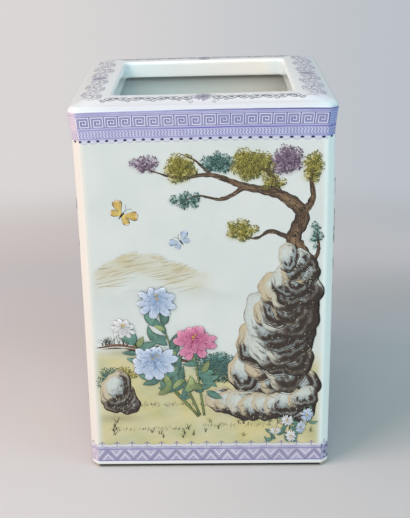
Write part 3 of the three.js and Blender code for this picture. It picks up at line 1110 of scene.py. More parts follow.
def blossoms(name, place, paths, twigs, rng):
    """Blossoms, buds and young leaves along a tree's boughs, none too close to another."""
    bloom = Brushwork(f"{name}_blossom", place)
    along = np.concatenate([path[len(path) // 3:] for path in paths])
    loose = along[rng.integers(0, len(along), 40)] + rng.normal(0, 3.0, (40, 2))
    kept = []

    def apart(spot, others):
        """Tells if a spot is in the crown and clear of the others."""
        on = abs(spot[0]) < tree_half and blossom_from < spot[1] < blossom_to
        return on and all(math.dist(spot, other) > blossom_gap for other in others)

    for spot in np.concatenate([twigs, loose]):
        if apart(spot, kept):
            kept.append(spot)
    roots = np.repeat(np.array(kept) + rng.normal(0, 3.2, (len(kept), 2)), 3, 0)
    angles, lengths = rng.uniform(0, TAU, len(roots)), rng.uniform(2.6, 5.2, len(roots))
    leaves(bloom, roots, angles, lengths, bud_leaf, young_leaf_lift, rng, 0.26, False)
    for order, spot in enumerate(kept):
        tone, lift = blush if order % 3 else pink, bloom_lift + bloom_step * order
        blossom(bloom, spot, rng.uniform(3.3, 4.5), tone, lift, rng)
    buds = along[rng.integers(0, len(along), 60)] + rng.normal(0, 2.6, (60, 2))
    dots(bloom, buds, rng.uniform(0.55, 0.95, 60), rose, bloom_lift, rng)
    dots(bloom, buds - [0, 0.7], 0.38, umber, bud_foot_lift, rng)
    bloom.make(enamel_bright)


def twigs_of(brush, paths, rng):
    """Short twigs that leave the boughs at a slant. It returns their ends."""
    path = np.concatenate([p[4:-2:5] for p in paths])
    along = np.concatenate([np.gradient(p, axis=0)[4:-2:5] for p in paths])
    lean = rng.choice([-1, 1], len(path)) * rng.uniform(0.5, 1.1, len(path))
    ends = path + rng.uniform(4, 10, (len(path), 1)) * aim(np.arctan2(along[:, 1], along[:, 0]) + lean)
    twigs = between(path, ends, 8, rng.normal(0, 0.9, path.shape))
    brush.lay(twigs, np.linspace(0.34, 0.08, 8), umber, lift=twig_lift)
    return ends


def lumps(centre, reach):
    """The round lumps of a clump of leaves, as centres and radii, spread like seeds in a flower's head: each
    is one angle on from the last, as far out as the root of its place in the count."""
    many = 4 + int(reach[0] * reach[1] / 8)
    order = np.arange(many)
    far = np.sqrt((order + 0.3) / many)
    spots = centre + aim(order * seed_turn + centre[0]) * far[:, None] * reach * 0.8
    return spots, min(reach) * (0.64 - 0.16 * far + 0.10 * np.sin(order * 5.1))


def foliage(brush, centre, reach, tone, lift, rng):
    """A clump of leaves: round lumps of fine stippled touches, closest and darkest along their far edges."""
    spots, sizes = lumps(centre, reach)
    counts = (sizes**2 * 11).astype(int)
    hub, size = np.repeat(spots, counts, 0), np.repeat(sizes, counts)
    angle = rng.uniform(0, TAU, len(hub))
    far = rng.uniform(0, 1, len(hub)) ** 0.42 * rng.uniform(0.9, 1.15, len(hub))
    touch = hub + aim(angle) * (far * size)[:, None]
    low = ease(0.0, 0.95, -far * np.cos(angle - light_angle))
    kept = (np.abs(touch[:, 0]) < picture_reach + 0.5) & (rng.uniform(0, 1, len(hub)) < 0.55 + 0.45 * low)
    touch, low = touch[kept], low[kept]
    many = len(touch)
    light, dark, rim = tone
    shade = mixed(light, dark, np.clip(rng.normal(0.35, 0.3, many) + 0.3 * low, 0, 1))
    shade = mixed(shade, rim, np.clip(rng.normal(0.25, 0.25, many) + 0.55 * low, 0, 0.9))
    half = aim(rng.uniform(0, TAU, many)) * rng.uniform(0.24, 0.46, (many, 1))
    width = np.array([0.10, 0.27, 0.10]) * rng.uniform(0.8, 1.2, (many, 1))
    lifts = lift + rng.uniform(0, 0.06, many)
    brush.lay(bent(touch - half, touch, touch + half, 3), width, shade[:, None], lift=lifts)


def needles(brush, centre, reach, lift, rng):
    """A cloud of pine needles: half wheels of fine strokes that open upwards, each from its own hub."""
    size, spokes = 4.6, 17
    count = int(0.17 * math.pi * reach[0] * reach[1])
    angle = rng.uniform(0, TAU, count)
    hubs = centre + aim(angle) * rng.uniform(0, 1, (count, 1)) ** 0.6 * reach
    hubs = np.repeat(hubs, spokes, 0)
    spoke = np.tile(np.linspace(-0.25, math.pi + 0.25, spokes), count)
    spoke += np.repeat(rng.normal(0, 0.25, count), spokes)
    ends = hubs + size * rng.uniform(0.75, 1.1, (len(hubs), 1)) * aim(spoke) * [1, 0.75]
    light, dark, _ = teal_leaf
    shade = mixed(light, dark, rng.uniform(0.2, 1, len(hubs)))[:, None]
    width = np.array([0.17, 0.16, 0.12, 0.04])
    brush.lay(between(hubs, ends, 4, [0, 0.25]), width, shade, lift=lift)


# Rocks and ground
def lobe(brush, centre, reach, lift, rng, warm, gloom):
    """One swelling fold of a rock. Its outline is an oval with a few waves in its radius. It runs from pale
    on the side of the light to a dark crescent on the far side, which has a ragged inner edge, pale arcs
    that follow the outline and pale pits."""
    many, rings = 60, 23
    angle = np.arange(many) * TAU / many
    a, b, c, d = rng.uniform(0, TAU, 4)
    waver = 1 + 0.09 * np.sin(2 * angle + a) + 0.06 * np.sin(3 * angle + b) + 0.035 * np.sin(8 * angle + c)
    oval = aim(angle) * [rng.uniform(0.75, 1.0), rng.uniform(0.85, 1.1)]
    edge = centre + reach * waver[:, None] * turned(oval, rng.uniform(-0.5, 0.5))
    eye = centre + 0.42 * reach * aim(light_angle)
    share = np.linspace(1, 0.06, rings)[:, None]
    facing = np.cos(angle - light_angle + 0.35 * np.sin(share * 6 + a))
    far_side = ease(0.25, -0.45, facing)
    ragged = 0.09 * np.sin(5 * angle + d + share * 5) + 0.06 * np.sin(13 * angle + a - share * 9)
    mass = far_side * ease(0.46, 0.70, share + ragged + gloom * 0.3)
    ripple = (share * reach / 3.4 + 0.16 * np.sin(3 * angle + d) + 0.05 * np.sin(11 * angle + b)) % 1
    pale_arc = ease(0.27, 0.10, np.abs(ripple - 0.5)) * rng.uniform(0.6, 1.1)
    crease = ease(0.13, 0.03, np.abs(ripple - 0.5)) * ease(0.25, 0.7, share) * ease(0.9, 0.2, facing)
    rim = ease(0.86, 1.0, share) * (0.30 + 0.70 * far_side)
    dark = np.maximum(np.maximum(mass * (1 - 0.80 * pale_arc), rim), crease * (1 - mass) * 0.55)
    dark = np.clip(dark + rng.normal(0, 0.07, (rings, many)), 0, 1)
    shades = mixed(rock_light, rock_blue, ease(0.05, 0.85, share * (0.25 + 0.75 * far_side) + gloom * 0.4))
    shades = mixed(shades, rock_warm, np.clip(warm * ease(0.25, 0.8, share * (1 - 0.5 * far_side)), 0, 0.75))
    shades = mixed(shades, rock_brown, ease(0, 0.6, dark))
    brush.patch(edge, eye, mixed(shades, ink, 0.75 * ease(0.55, 1, dark)), lift)
    sweep = light_angle + math.pi + np.linspace(-1.9, 1.6, 34) + rng.uniform(-0.3, 0.3)
    far_edge = edge[np.round((sweep % TAU) / TAU * many).astype(int) % many]
    outline = blade(34, rng.uniform(0.35, 0.65), 0.8) * rng.uniform(0.35, 0.75)
    brush.lay(far_edge, outline, ink, lift=lift + 0.02)
    for inner in rng.uniform(0.30, 0.90, 7):
        start, size = rng.integers(0, 20), rng.integers(6, 14)
        part = eye + (far_edge[start:start + size] - eye) * inner
        tone = mixed(ink, rock_brown, rng.uniform())
        brush.lay(part, blade(len(part), 0.4, 0.8) * rng.uniform(0.08, 0.34), tone, lift=lift + 0.02)
    pits = eye + (far_edge[rng.integers(5, 29, 9)] - eye) * rng.uniform(0.62, 0.93, (9, 1))
    dots(brush, pits, rng.uniform(0.22, 0.55, 9), rock_pit, lift + 0.03, rng)


def rock(brush, spine, widths, reaches, many, lift, rng, warm, gloom):
    """A rock of folds heaped along a spine from its foot up, each upper fold over the one below it."""
    path = through(spine, many)
    side, width, reach = normals_of(path), shares_of(widths, many), shares_of(reaches, many)
    for k in range(many):
        size = reach[k] * rng.uniform(0.8, 1.2)
        swing = ((k * fold_turn) % 1) * 2 - 1
        centre = path[k] + side[k] * swing * max(width[k] - size * 0.6, 0)
        centre[0] = np.clip(centre[0], size - picture_reach, picture_reach - size)
        shades = warm * rng.uniform(0, 1.6), gloom * rng.uniform(0, 1.5)
        lobe(brush, centre, size, lift + fold_step * k, rng, *shades)


def stipple(brush, rows, lift, rng):
    """Rows of short upright touches for far grass. Each row is a middle, a half-length and a count."""
    for u, z, half, many in rows:
        foot = np.stack([u + rng.uniform(-half, half, many), z + rng.normal(0, 0.55, many)], 1)
        foot = foot[np.abs(foot[:, 0]) < picture_reach]
        tall = rng.uniform(0.6, 1.5, len(foot))[:, None] * [0.12, 1.0]
        tint = row_ink * rng.uniform(0.6, 1.7, (len(foot), 1))
        touch = bent(foot, foot + tall / 2, foot + tall, 3)
        brush.lay(touch, np.array([0.10, 0.12, 0.05]), tint[:, None], lift=lift)


def bank(brush, knots, lift, rng):
    """A bank's broken edge: long dark strokes that run along it, with fine grass above."""
    path = through(knots, 90)
    for _ in range(26):
        start = rng.integers(0, 62)
        part = path[start:start + rng.integers(14, 28)] + [0, -2.4 * rng.uniform() ** 2]
        tone = umber * rng.uniform(0.5, 2.4)
        width = blade(len(part), rng.uniform(0.3, 0.7), 0.9) * rng.uniform(0.2, 0.75)
        brush.lay(part, width, tone, lift=lift)
    grass(brush, path[rng.integers(6, 84, 26)] + [0, 0.2], 4.4, 4, sedge_ink, lift, rng)


def ridge_strokes(brush, knots, depth, lift, rng):
    """A far hill's dry strokes: fine slanted ones in a few bundles on its slope, paler and longer below the
    crest."""
    path = through(knots, 80)
    many = 60
    bundle = rng.choice([16, 29, 44, 57], many)
    drop = rng.uniform(0, 1, many) ** 1.3
    spots = np.clip(bundle + rng.integers(-6, 7, many), 2, 77)
    start = path[spots] - np.stack([drop * 0, drop * depth + 0.6], 1)
    room = picture_reach - 1 - np.abs(start[:, 0])
    reach = np.minimum((2.0 + 5 * drop) * rng.uniform(0.6, 1.3, many), room)
    half = np.stack([reach, (0.22 + rng.normal(0, 0.08, many)) * reach], 1)
    tone = mixed(ridge_ink, far_ochre, np.clip(drop * 0.8 + rng.uniform(0, 0.5, many), 0, 1))[:, None]
    width = blade(9, 0.4, 0.9) * (rng.uniform(0.05, 0.13, many) * (1 + drop * 0.6))[:, None]
    middle = start + rng.normal(0, 0.5, (many, 2))
    brush.lay(bent(start - half, middle, start + half, 9), width, tone, lift=lift)


# The scrolls on the top plate
rim_middle = 53.2
scroll_from, scroll_to, scroll_pitch, scroll_rise, scroll_bold, scroll_fade = 5.5, 51, 18.0, 5.9, 1.1, 0.08
chain_from, chain_to, chain_cell, chain_rise = 4.6, 46, 5.9, 1.9
curl_stretch = scroll_pitch / scroll_rise / 2.6


def rim_scroll(brush, way, rng):
    """A vine that waves along a side rim, with a curl in each bend, small loops on its back and a few
    leaves. The far bends are smaller by a share."""
    start, run = way * scroll_from, scroll_to - scroll_from
    bends = int(run / scroll_pitch * 2)
    s = np.linspace(start, way * scroll_to, bends * 12)
    size = 1 - scroll_fade * np.abs(s - start) / run
    wave = scroll_rise * 0.72 * size * np.sin((s - start) * TAU / scroll_pitch)
    vine = np.stack([s, wave], 1) + rng.normal(0, 0.05, (len(s), 2))
    brush.lay(vine, np.linspace(0.24, 0.14, len(s)) * scroll_bold, scroll_ink, lift=scroll_lift)
    for bend in range(bends):
        past = scroll_pitch * (bend / 2 + 0.25)
        at = start + way * past
        scale = (1 - scroll_fade * past / run) * rng.uniform(0.88, 1.08)
        up = (1 if bend % 2 == 0 else -1) * way
        rise = scroll_rise * scale
        root = np.array([at - way * scroll_pitch * 0.22, 0.0])
        curl = volute((0, 0), rise * 0.66, math.atan2(-up, -way), -up * way, 26) * [curl_stretch, 1]
        curl += [at + way * scroll_pitch * 0.02, -up * rise * 0.28]
        stem = between(root, curl[0], 7, [0, -up * 0.8])
        brush.lay(stem, 0.20 * scroll_bold, scroll_ink, lift=scroll_lift)
        brush.lay(curl, np.linspace(0.28, 0.15, len(curl)) * scroll_bold, scroll_ink, lift=0.035)
        dots(brush, curl[-1:], 0.5 * scale, scroll_ink, 0.05, rng)
        for side, spot in enumerate((-0.16, 0.02, 0.19)):
            crest = [at + spot * scroll_pitch, rise * (0.78 - 0.5 * abs(spot)) * up]
            radius = rise * 0.30 * rng.uniform(0.8, 1.15)
            loop = volute((0, 0), radius, -up * 1.57, up if side % 2 else -up, 14) * [curl_stretch, 1] + crest
            brush.lay(loop, np.linspace(0.20, 0.12, 14) * scroll_bold, scroll_ink, lift=0.034)
        lean = np.array([0.25, 1.0, 2.0, 2.8]) * up + rng.normal(0, 0.2, 4)
        crest = np.array([at, rise * 0.60 * up])
        tips = crest + aim(lean) * [way * curl_stretch, 1] * rise * 0.42
        sprays = between(crest, tips, 6, rng.normal(0, 0.15, (4, 2)))
        width = blade(6, 0.55, 0.7) * 0.42 * scale * scroll_bold
        brush.lay(sprays, width, scroll_wash, scroll_pale, lift=0.032, wide=True)


def rim_chain(brush, way, rng):
    """Two vines that cross again and again along a rim, and so make a chain of ovals. Each oval holds a
    small leaf, and a curl springs from each crossing, up and down in turn. A last stroke thins out past
    the chain."""
    start, cells = way * chain_from, int((chain_to - chain_from) / chain_cell)
    s = np.linspace(start, start + way * cells * chain_cell, cells * 12)
    for up in (1, -1):
        wave = chain_rise * np.sin((s - start) * math.pi / chain_cell) * up
        vine = np.stack([s, wave + 0.5], 1) + rng.normal(0, 0.035, (len(s), 2))
        brush.lay(vine, np.linspace(0.32, 0.24, len(s)), scroll_ink, lift=scroll_lift + 0.004 * up)
    for order in range(cells):
        at = start + way * chain_cell * (order + 0.5)
        lean = rng.uniform(-0.35, 0.35)
        leaf = [[at - 1.3, 0.5 - lean], [at, 0.5 + lean * 0.4], [at + 1.3, 0.5 + lean]]
        brush.lay(through(leaf, 8), blade(8, 0.5, 0.7) * 0.80, scroll_ink, lift=0.04)
        up = 1 if order % 2 else -1
        hub = (at + way * chain_cell * 0.42, up * chain_rise * 0.75)
        radius = chain_rise * rng.uniform(0.5, 0.7)
        curl = volute(hub, radius, -up * 1.57, way * up, 14) * [1.3, 1] - [at * 0.3, 0]
        brush.lay(curl, np.linspace(0.26, 0.16, 14), scroll_ink, lift=0.037)
    tail = [[way * 43, 0], [way * 46, -1.4], [way * 50, 1.0], [way * 54, -0.8]]
    brush.lay(through(tail, 16), np.linspace(0.22, 0.06, 16), scroll_ink, lift=scroll_lift)


def rim_flower(brush, centre, rng):
    """A drawn rosette: slim rays with ink rims round a dotted eye, and tendrils at its corners."""
    size, tone = 4.8, (scroll_ink, scroll_wash, scroll_ink)
    flower(brush, centre, size, 12, tone, 0.05, rng, 0.95, 0.2, 0.6, 0.6)
    flower(brush, centre, size * 0.5, 7, tone, 0.09, rng)
    dots(brush, np.array([centre], float), size * 0.13, scroll_ink, 0.14, rng)
    for side in (-1, 1):
        for up in (-1, 1):
            hub = (side * size * 1.2, up * size * 0.62)
            curl = volute(hub, size * 0.34, quarter * (1 - side), -side * up, 16)
            brush.lay(curl, 0.13, scroll_ink, lift=scroll_lift)


def plate_scrolls():
    """The top plate's ornament: close scrolls on the side rims, and chains of small leaves on the front and
    back ones."""
    for turns, name in enumerate(("front", "right", "back", "left")):
        on_side = turns % 2 == 1
        brush = Brushwork(f"{name}_rim_scroll", on_plate(turns, 1.0 if on_side else 1.5))
        rng = np.random.default_rng(70 + turns)
        for way in (-1, 1):
            (rim_scroll if on_side else rim_chain)(brush, way, rng)
        rim_flower(brush, (0, 0) if on_side else (0, 1.5), rng)
        brush.make(enamel_dark)


# The pictures' plans, in millimetres across the face and up it
front_plan = {
    "name": "front", "seed": 5,
    "clumps": [
        ((51, 160), (5, 8), yellow_leaf), ((39, 164), (9, 6), purple_leaf), ((22, 162), (11, 7), yellow_leaf),
        ((6, 163), (8, 5), teal_leaf), ((-11, 161), (9, 6), yellow_leaf), ((-28, 163), (8, 4), purple_leaf),
        ((-9, 145), (9, 4), teal_leaf), ((17, 130), (9, 5), yellow_leaf), ((53, 127), (3, 8), teal_leaf),
        ((32, 153), (6, 4), yellow_leaf),
    ],
    "bushes": [
        ((4, 57), (11, 8), teal_leaf), ((-50, 51), (6, 7), teal_leaf), ((-41, 54), (5, 4), yellow_leaf),
    ],
    "ridge": [(-60, 106), (-48, 114), (-34, 120), (-22, 117), (-8, 111), (6, 106)],
    "mist": [(-60, 96), (-40, 99), (-16, 102), (6, 99), (24, 96)],
    "ground": [(-60, 70), (-44, 70), (-30, 67), (-14, 62), (8, 60), (30, 64), (60, 66)],
    "bank": [(-57, 69), (-44, 70), (-30, 67), (-14, 62), (2, 60)],
    "rows": [
        (-6, 49, 16, 90), (-38, 55, 14, 60), (-20, 36, 22, 120), (20, 24, 24, 120), (-30, 22, 20, 90),
        (44, 20, 10, 50),
    ],
    "damp": [((-34, 66), (26, 3.2)), ((26, 31), (34, 6)), ((-46, 29), (16, 4))],
    "limbs": [
        ([(44, 92), (49, 110), (42, 124), (46, 137), (35, 147), (19, 151), (3, 157), (-13, 156), (-29, 161)],
         (5.0, 4.6, 3.9, 3.3, 2.5, 1.7, 1.0, 0.6, 0.15)),
        ([(46, 137), (51, 145), (50, 155), (53, 163)], (2.0, 1.4, 0.8, 0.2)),
        ([(35, 147), (31, 157), (22, 163), (17, 168)], (1.8, 1.1, 0.6, 0.15)),
        ([(19, 151), (8, 145), (-4, 147), (-14, 142)], (1.3, 0.8, 0.4, 0.1)),
        ([(42, 124), (31, 129), (24, 125), (15, 128)], (1.4, 0.9, 0.5, 0.1)),
        ([(49, 110), (54, 118), (53, 129)], (1.2, 0.8, 0.15)),
        ([(3, 157), (-4, 164), (-12, 168)], (0.8, 0.5, 0.1)),
    ],
    "rocks": [
        ([(6, 39), (28, 35), (52, 40)], (2, 4, 2), (8, 9, 8), 9, 0.8, 0.2),
        ([(27, 43), (32, 55), (40, 70), (36, 86), (44, 100), (42, 116)], (24, 24, 20, 17, 12, 7),
         (10, 13, 14, 13, 10, 7), 30, 0.9, 0),
        ([(-45, 37), (-47, 46)], (8, 5), (7.5, 8), 6, 0.9, 0),
    ],
    "foot": (-4, 30), "head": peony,
    "heads": [((-27, 60), 12.5, blue), ((-25, 93), 11, blue), ((-7, 71), 11.5, pink), ((-42, 79), 6.5, milk)],
    "asters": [(40, 27), (47, 23), (34, 21), (50, 30), (42, 18)],
    "butterflies": [((-40, 138), 8, 0.9, gold_wings), ((-12, 124), 6, 2.2, blue_wings)],
}
right_plan = {
    "name": "right", "seed": 6,
    "bushes": [
        ((-10, 55), (10, 7), teal_leaf), ((-51, 60), (5, 7), yellow_leaf), ((48, 66), (8, 5), teal_leaf),
    ],
    "ridge": [(-6, 108), (6, 114), (20, 121), (34, 117), (48, 110), (60, 106)],
    "mist": [(-30, 95), (-8, 98), (16, 102), (40, 99), (60, 96)],
    "ground": [(-60, 66), (-40, 66), (-14, 60), (10, 58), (32, 62), (46, 68), (60, 70)],
    "bank": [(4, 58), (18, 60), (32, 63), (46, 69), (57, 70)],
    "rows": [(10, 48, 18, 90), (38, 54, 14, 60), (24, 34, 20, 120), (-20, 23, 24, 120), (34, 21, 18, 90)],
    "damp": [((38, 65), (24, 3.2)), ((-28, 29), (32, 6)), ((30, 28), (16, 4))],
    "canes": [
        ((-18, 40), (-6, 170), 1.9), ((-24, 46), (-32, 169), 1.7), ((-9, 38), (14, 168), 1.6),
        ((-32, 52), (-50, 150), 1.3), ((-4, 38), (32, 152), 1.1),
    ],
    "rocks": [
        ([(-52, 34), (-34, 31), (-12, 34)], (3, 4, 2), (8, 9, 7), 9, 0.8, 0.2),
        ([(-36, 38), (-34, 50), (-42, 64), (-35, 78), (-40, 90)], (18, 19, 15, 11, 6),
         (10, 12, 12, 10, 7), 22, 0.9, 0),
        ([(48, 36), (45, 42)], (7, 5), (7, 6), 5, 0.9, 0),
    ],
    "foot": (17, 30), "head": peony,
    "heads": [((10, 64), 11, pink), ((28, 80), 11.5, blue), ((38, 57), 10, milk), ((16, 92), 7, blush)],
    "asters": [(-10, 24), (-3, 20), (-17, 20), (46, 24), (40, 19)],
    "butterflies": [((46, 142), 8, 2.2, gold_wings), ((44, 122), 5.5, 0.8, blue_wings)],
}
back_plan = {
    "name": "back", "seed": 7, "blossom": True,
    "bushes": [((-16, 52), (11, 8), teal_leaf), ((44, 62), (9, 6), yellow_leaf)],
    "ridge": [(-8, 100), (8, 107), (24, 113), (38, 109), (50, 103), (60, 99)],
    "mist": [(-30, 92), (-8, 95), (16, 97), (40, 95), (60, 92)],
    "ground": [(-60, 60), (-30, 58), (-6, 60), (20, 64), (40, 62), (60, 66)],
    "bank": [(-4, 60), (16, 64), (32, 63), (46, 63), (57, 66)],
    "rows": [(8, 48, 18, 90), (-14, 34, 20, 90), (20, 24, 24, 120), (-30, 21, 20, 90), (44, 36, 10, 50)],
    "damp": [((30, 62), (26, 3.2)), ((-34, 28), (28, 6))],
    "limbs": [
        ([(-42, 50), (-47, 72), (-46, 90), (-39, 104), (-42, 118), (-33, 128), (-20, 135), (-12, 145),
          (4, 149), (20, 146), (36, 152)], (5.6, 5.0, 4.4, 4.0, 3.4, 2.6, 1.8, 1.2, 0.8, 0.5, 0.15)),
        ([(-41, 118), (-49, 128), (-47, 140), (-53, 152), (-51, 164)], (2.2, 1.7, 1.2, 0.8, 0.2)),
        ([(-33, 129), (-32, 141), (-24, 151), (-25, 163)], (1.8, 1.3, 0.8, 0.15)),
        ([(-12, 146), (-8, 157), (4, 163), (12, 169)], (1.2, 0.8, 0.45, 0.12)),
        ([(-20, 136), (-6, 133), (8, 136), (20, 130), (30, 132)], (1.3, 0.9, 0.6, 0.35, 0.1)),
        ([(20, 147), (30, 141), (42, 141), (50, 134)], (0.7, 0.5, 0.3, 0.1)),
        ([(14, 148), (24, 157), (38, 163), (48, 162)], (0.7, 0.5, 0.3, 0.1)),
    ],
    "rocks": [
        ([(-50, 36), (-34, 32), (-12, 36)], (3, 4, 2), (9, 9, 7), 9, 0.8, 0.2),
        ([(-40, 40), (-32, 52), (-40, 62)], (18, 15, 8), (10, 11, 8), 14, 0.9, 0),
    ],
    "foot": (20, 30), "head": peony,
    "heads": [((8, 64), 12, milk), ((30, 72), 12, pink), ((40, 50), 10, blue), ((16, 88), 7, mauve)],
    "asters": [(-8, 26), (-15, 22), (0, 20), (48, 26)],
    "butterflies": [((36, 118), 8, 2.4, gold_wings), ((10, 110), 5.5, 0.9, blue_wings)],
}
left_plan = {
    "name": "left", "seed": 8,
    "clouds": [
        ((51, 142), (6, 6)), ((20, 161), (12, 6)), ((36, 150), (9, 5)), ((-36, 127), (9, 4)),
        ((-8, 115), (9, 4)), ((-46, 152), (8, 5)), ((-36, 165), (10, 4)), ((-12, 148), (11, 5)),
        ((7, 141), (8, 4)), ((53, 119), (3, 6)),
    ],
    "bushes": [((6, 56), (10, 7), teal_leaf), ((-50, 62), (6, 6), yellow_leaf)],
    "ridge": [(-60, 100), (-48, 107), (-36, 111), (-22, 106), (-6, 99), (8, 96)],
    "mist": [(-60, 90), (-40, 93), (-16, 95), (6, 93), (24, 90)],
    "ground": [(-60, 66), (-36, 62), (-14, 58), (10, 60), (36, 62), (60, 60)],
    "bank": [(-57, 65), (-44, 63), (-28, 60), (-12, 58), (2, 59)],
    "rows": [(-12, 48, 18, 90), (-40, 50, 12, 60), (-20, 34, 22, 120), (18, 23, 24, 120), (-34, 21, 18, 90)],
    "damp": [((-32, 61), (24, 3.2)), ((34, 30), (28, 6))],
    "limbs": [
        ([(36, 44), (43, 64), (35, 84), (42, 102), (28, 119), (10, 130), (-10, 136), (-28, 146), (-44, 150)],
         (6.6, 6, 5.2, 4.4, 3.5, 2.5, 1.7, 0.9, 0.2)),
        ([(42, 102), (50, 114), (47, 130), (53, 141)], (2.2, 1.6, 1.0, 0.2)),
        ([(28, 120), (30, 136), (18, 150), (20, 160)], (2.4, 1.7, 1.0, 0.2)),
        ([(-10, 136), (-20, 126), (-34, 125)], (1.2, 0.8, 0.2)),
        ([(10, 130), (4, 120), (-8, 113)], (1.4, 0.9, 0.2)),
        ([(-28, 146), (-30, 158), (-40, 163)], (1.0, 0.6, 0.15)),
    ],
    "rocks": [
        ([(12, 36), (32, 32), (52, 38)], (3, 4, 2), (8, 9, 9), 10, 0.8, 0.2),
        ([(48, 42), (50, 56)], (9, 6), (9, 7), 7, 0.9, 0),
        ([(-50, 34), (-47, 40)], (7, 5), (7, 6), 5, 0.9, 0),
    ],
    "foot": (-16, 28), "head": aster,
    "heads": [
        ((-30, 58), 9.5, gold), ((-16, 70), 10, blue), ((-2, 56), 9, pink), ((-36, 78), 8, milk),
        ((-14, 88), 7, gold),
    ],
    "asters": [(28, 22), (36, 19), (20, 19), (-44, 22)],
    "butterflies": [((-44, 112), 5.5, 0.9, blue_wings), ((24, 96), 7.5, 2.2, gold_wings)],
}
plans = (front_plan, right_plan, back_plan, left_plan)


# The pictures' parts, each a mesh of its own on its face
def paint_land(brush, plan, rng):
    """The hill's dry strokes, the bank's edge, rows of stippled grass and low bushes. A bush or clump is a
    centre, a reach and a tone, and a cloud has no tone."""
    ridge_strokes(brush, plan["ridge"], 13, ridge_lift, rng)
    bank(brush, plan["bank"], bank_lift, rng)
    stipple(brush, plan["rows"], row_lift, rng)
    for centre, reach, tone in plan["bushes"]:
        foliage(brush, centre, reach, tone, bush_lift, rng)


def paint_tree(brush, plan, rng):
    """A tree or canes, with its leaves, needles or blossoms. A limb is knots and half-widths, and a cane a
    foot, a top and a half-width."""
    paths = []
    for order, (knots, widths) in enumerate(plan.get("limbs", ())):
        paths.append(limb(brush, knots, widths, bough_lift - bough_step * order, rng))
    for order, (foot, top, width) in enumerate(plan.get("canes", ())):
        bamboo(brush, foot, top, width, bough_lift + cane_step * order, rng)
    for centre, reach in plan.get("clouds", ()):
        needles(brush, centre, reach, clump_lift, rng)
    for centre, reach, tone in plan.get("clumps", ()):
        foliage(brush, centre, reach, tone, clump_lift, rng)
    if "blossom" in plan:
        blossoms(plan["name"], brush.place, paths, twigs_of(brush, paths, rng), rng)


def paint_rocks(brush, plan, rng):
    """Rocks, each a spine, the half-widths and the folds' sizes along it, their count, warmth and gloom."""
    for spine, widths, reaches, many, warm, gloom in plan["rocks"]:
        rock(brush, spine, widths, reaches, many, rock_lift, rng, warm, gloom)


def paint_flowers(brush, plan, rng):
    """Large flowers on stems from one foot, over a mass of leaves. A head is a centre, a size and a tone."""
    heads = np.array([centre for centre, _, _ in plan["heads"]], float)
    feet = plan["foot"] + rng.normal(0, 1.5, heads.shape) * [1, 0.3]
    stems = bent(feet, feet * [0.25, 0.5] + heads * [0.75, 0.5] + [0, 6], heads, 20)
    brush.lay(stems, np.linspace(0.62, 0.3, 20), stem_green, heart=stem_light, lift=stem_lift)
    spots = stems[:, 5:17:2].reshape(-1, 2)
    roots = strewn(spots, 2, 1.2, rng)
    angles, lengths = rng.uniform(-0.5, math.pi + 0.5, len(roots)), rng.uniform(7, 12, len(roots))
    leaves(brush, roots, angles, lengths, deep_leaf, leaf_lift, rng, 0.2)
    fresh, angles = roots[::4] + [0, 2], angles[::4] + 0.7
    lengths = rng.uniform(6, 10, len(fresh))
    leaves(brush, fresh, angles, lengths, fresh_leaf, fresh_lift, rng, 0.22)
    for centre, (_, size, tone) in zip(heads, plan["heads"]):
        plan["head"](brush, centre, size, tone, head_lift, rng)


def paint_verge(brush, plan, rng):
    """Grass tufts and small asters in front."""
    roots = np.stack([rng.uniform(-54, 52, 26), rng.uniform(17, 27, 26)], 1)
    grass(brush, roots, 3.4, 5, grass_ink, tuft_lift, rng)
    spots = np.array(plan["asters"], float)
    roots = strewn(spots - [0, 3], 5, 1.5, rng)
    angles, lengths = rng.uniform(0, math.pi, len(roots)), rng.uniform(3.5, 6.5, len(roots))
    leaves(brush, roots, angles, lengths, deep_leaf, low_leaf_lift, rng, 0.2)
    for order, spot in enumerate(spots):
        aster(brush, spot, rng.uniform(3.2, 4.4), (milk, blue)[order % 2], aster_lift, rng)


def paint_butterflies(brush, plan, rng):
    """Butterflies, each a centre, a size, a heading and a tone."""
    for centre, size, angle, tone in plan["butterflies"]:
        butterfly(brush, np.array(centre, float), size, angle, tone, wing_lift, rng)


def enamel_finish(name, rough, body):
    """Enamel that carries its stroke's colour, mottled a little where it lies thick, with a soft gloss."""
    finish = Finish(name)
    place = finish.place()
    shade, _ = finish.attribute("enamel")
    cloud, fine = finish.noise(place, 420, 3, 0.6), finish.noise(place, 2600, 2, 0.6)
    amount = cloud.step(0.35, 0.7) * body + fine.step(0.45, 0.7) * body * 0.5
    finish.surface(
        Base_Color=finish.blend(amount, shade, finish.tint(shade, shade)),
        Roughness=rough + cloud * 0.12,
        Normal=finish.bump(fine, 0.00006, 0.5),
        IOR=1.52,
    )
    return finish.material


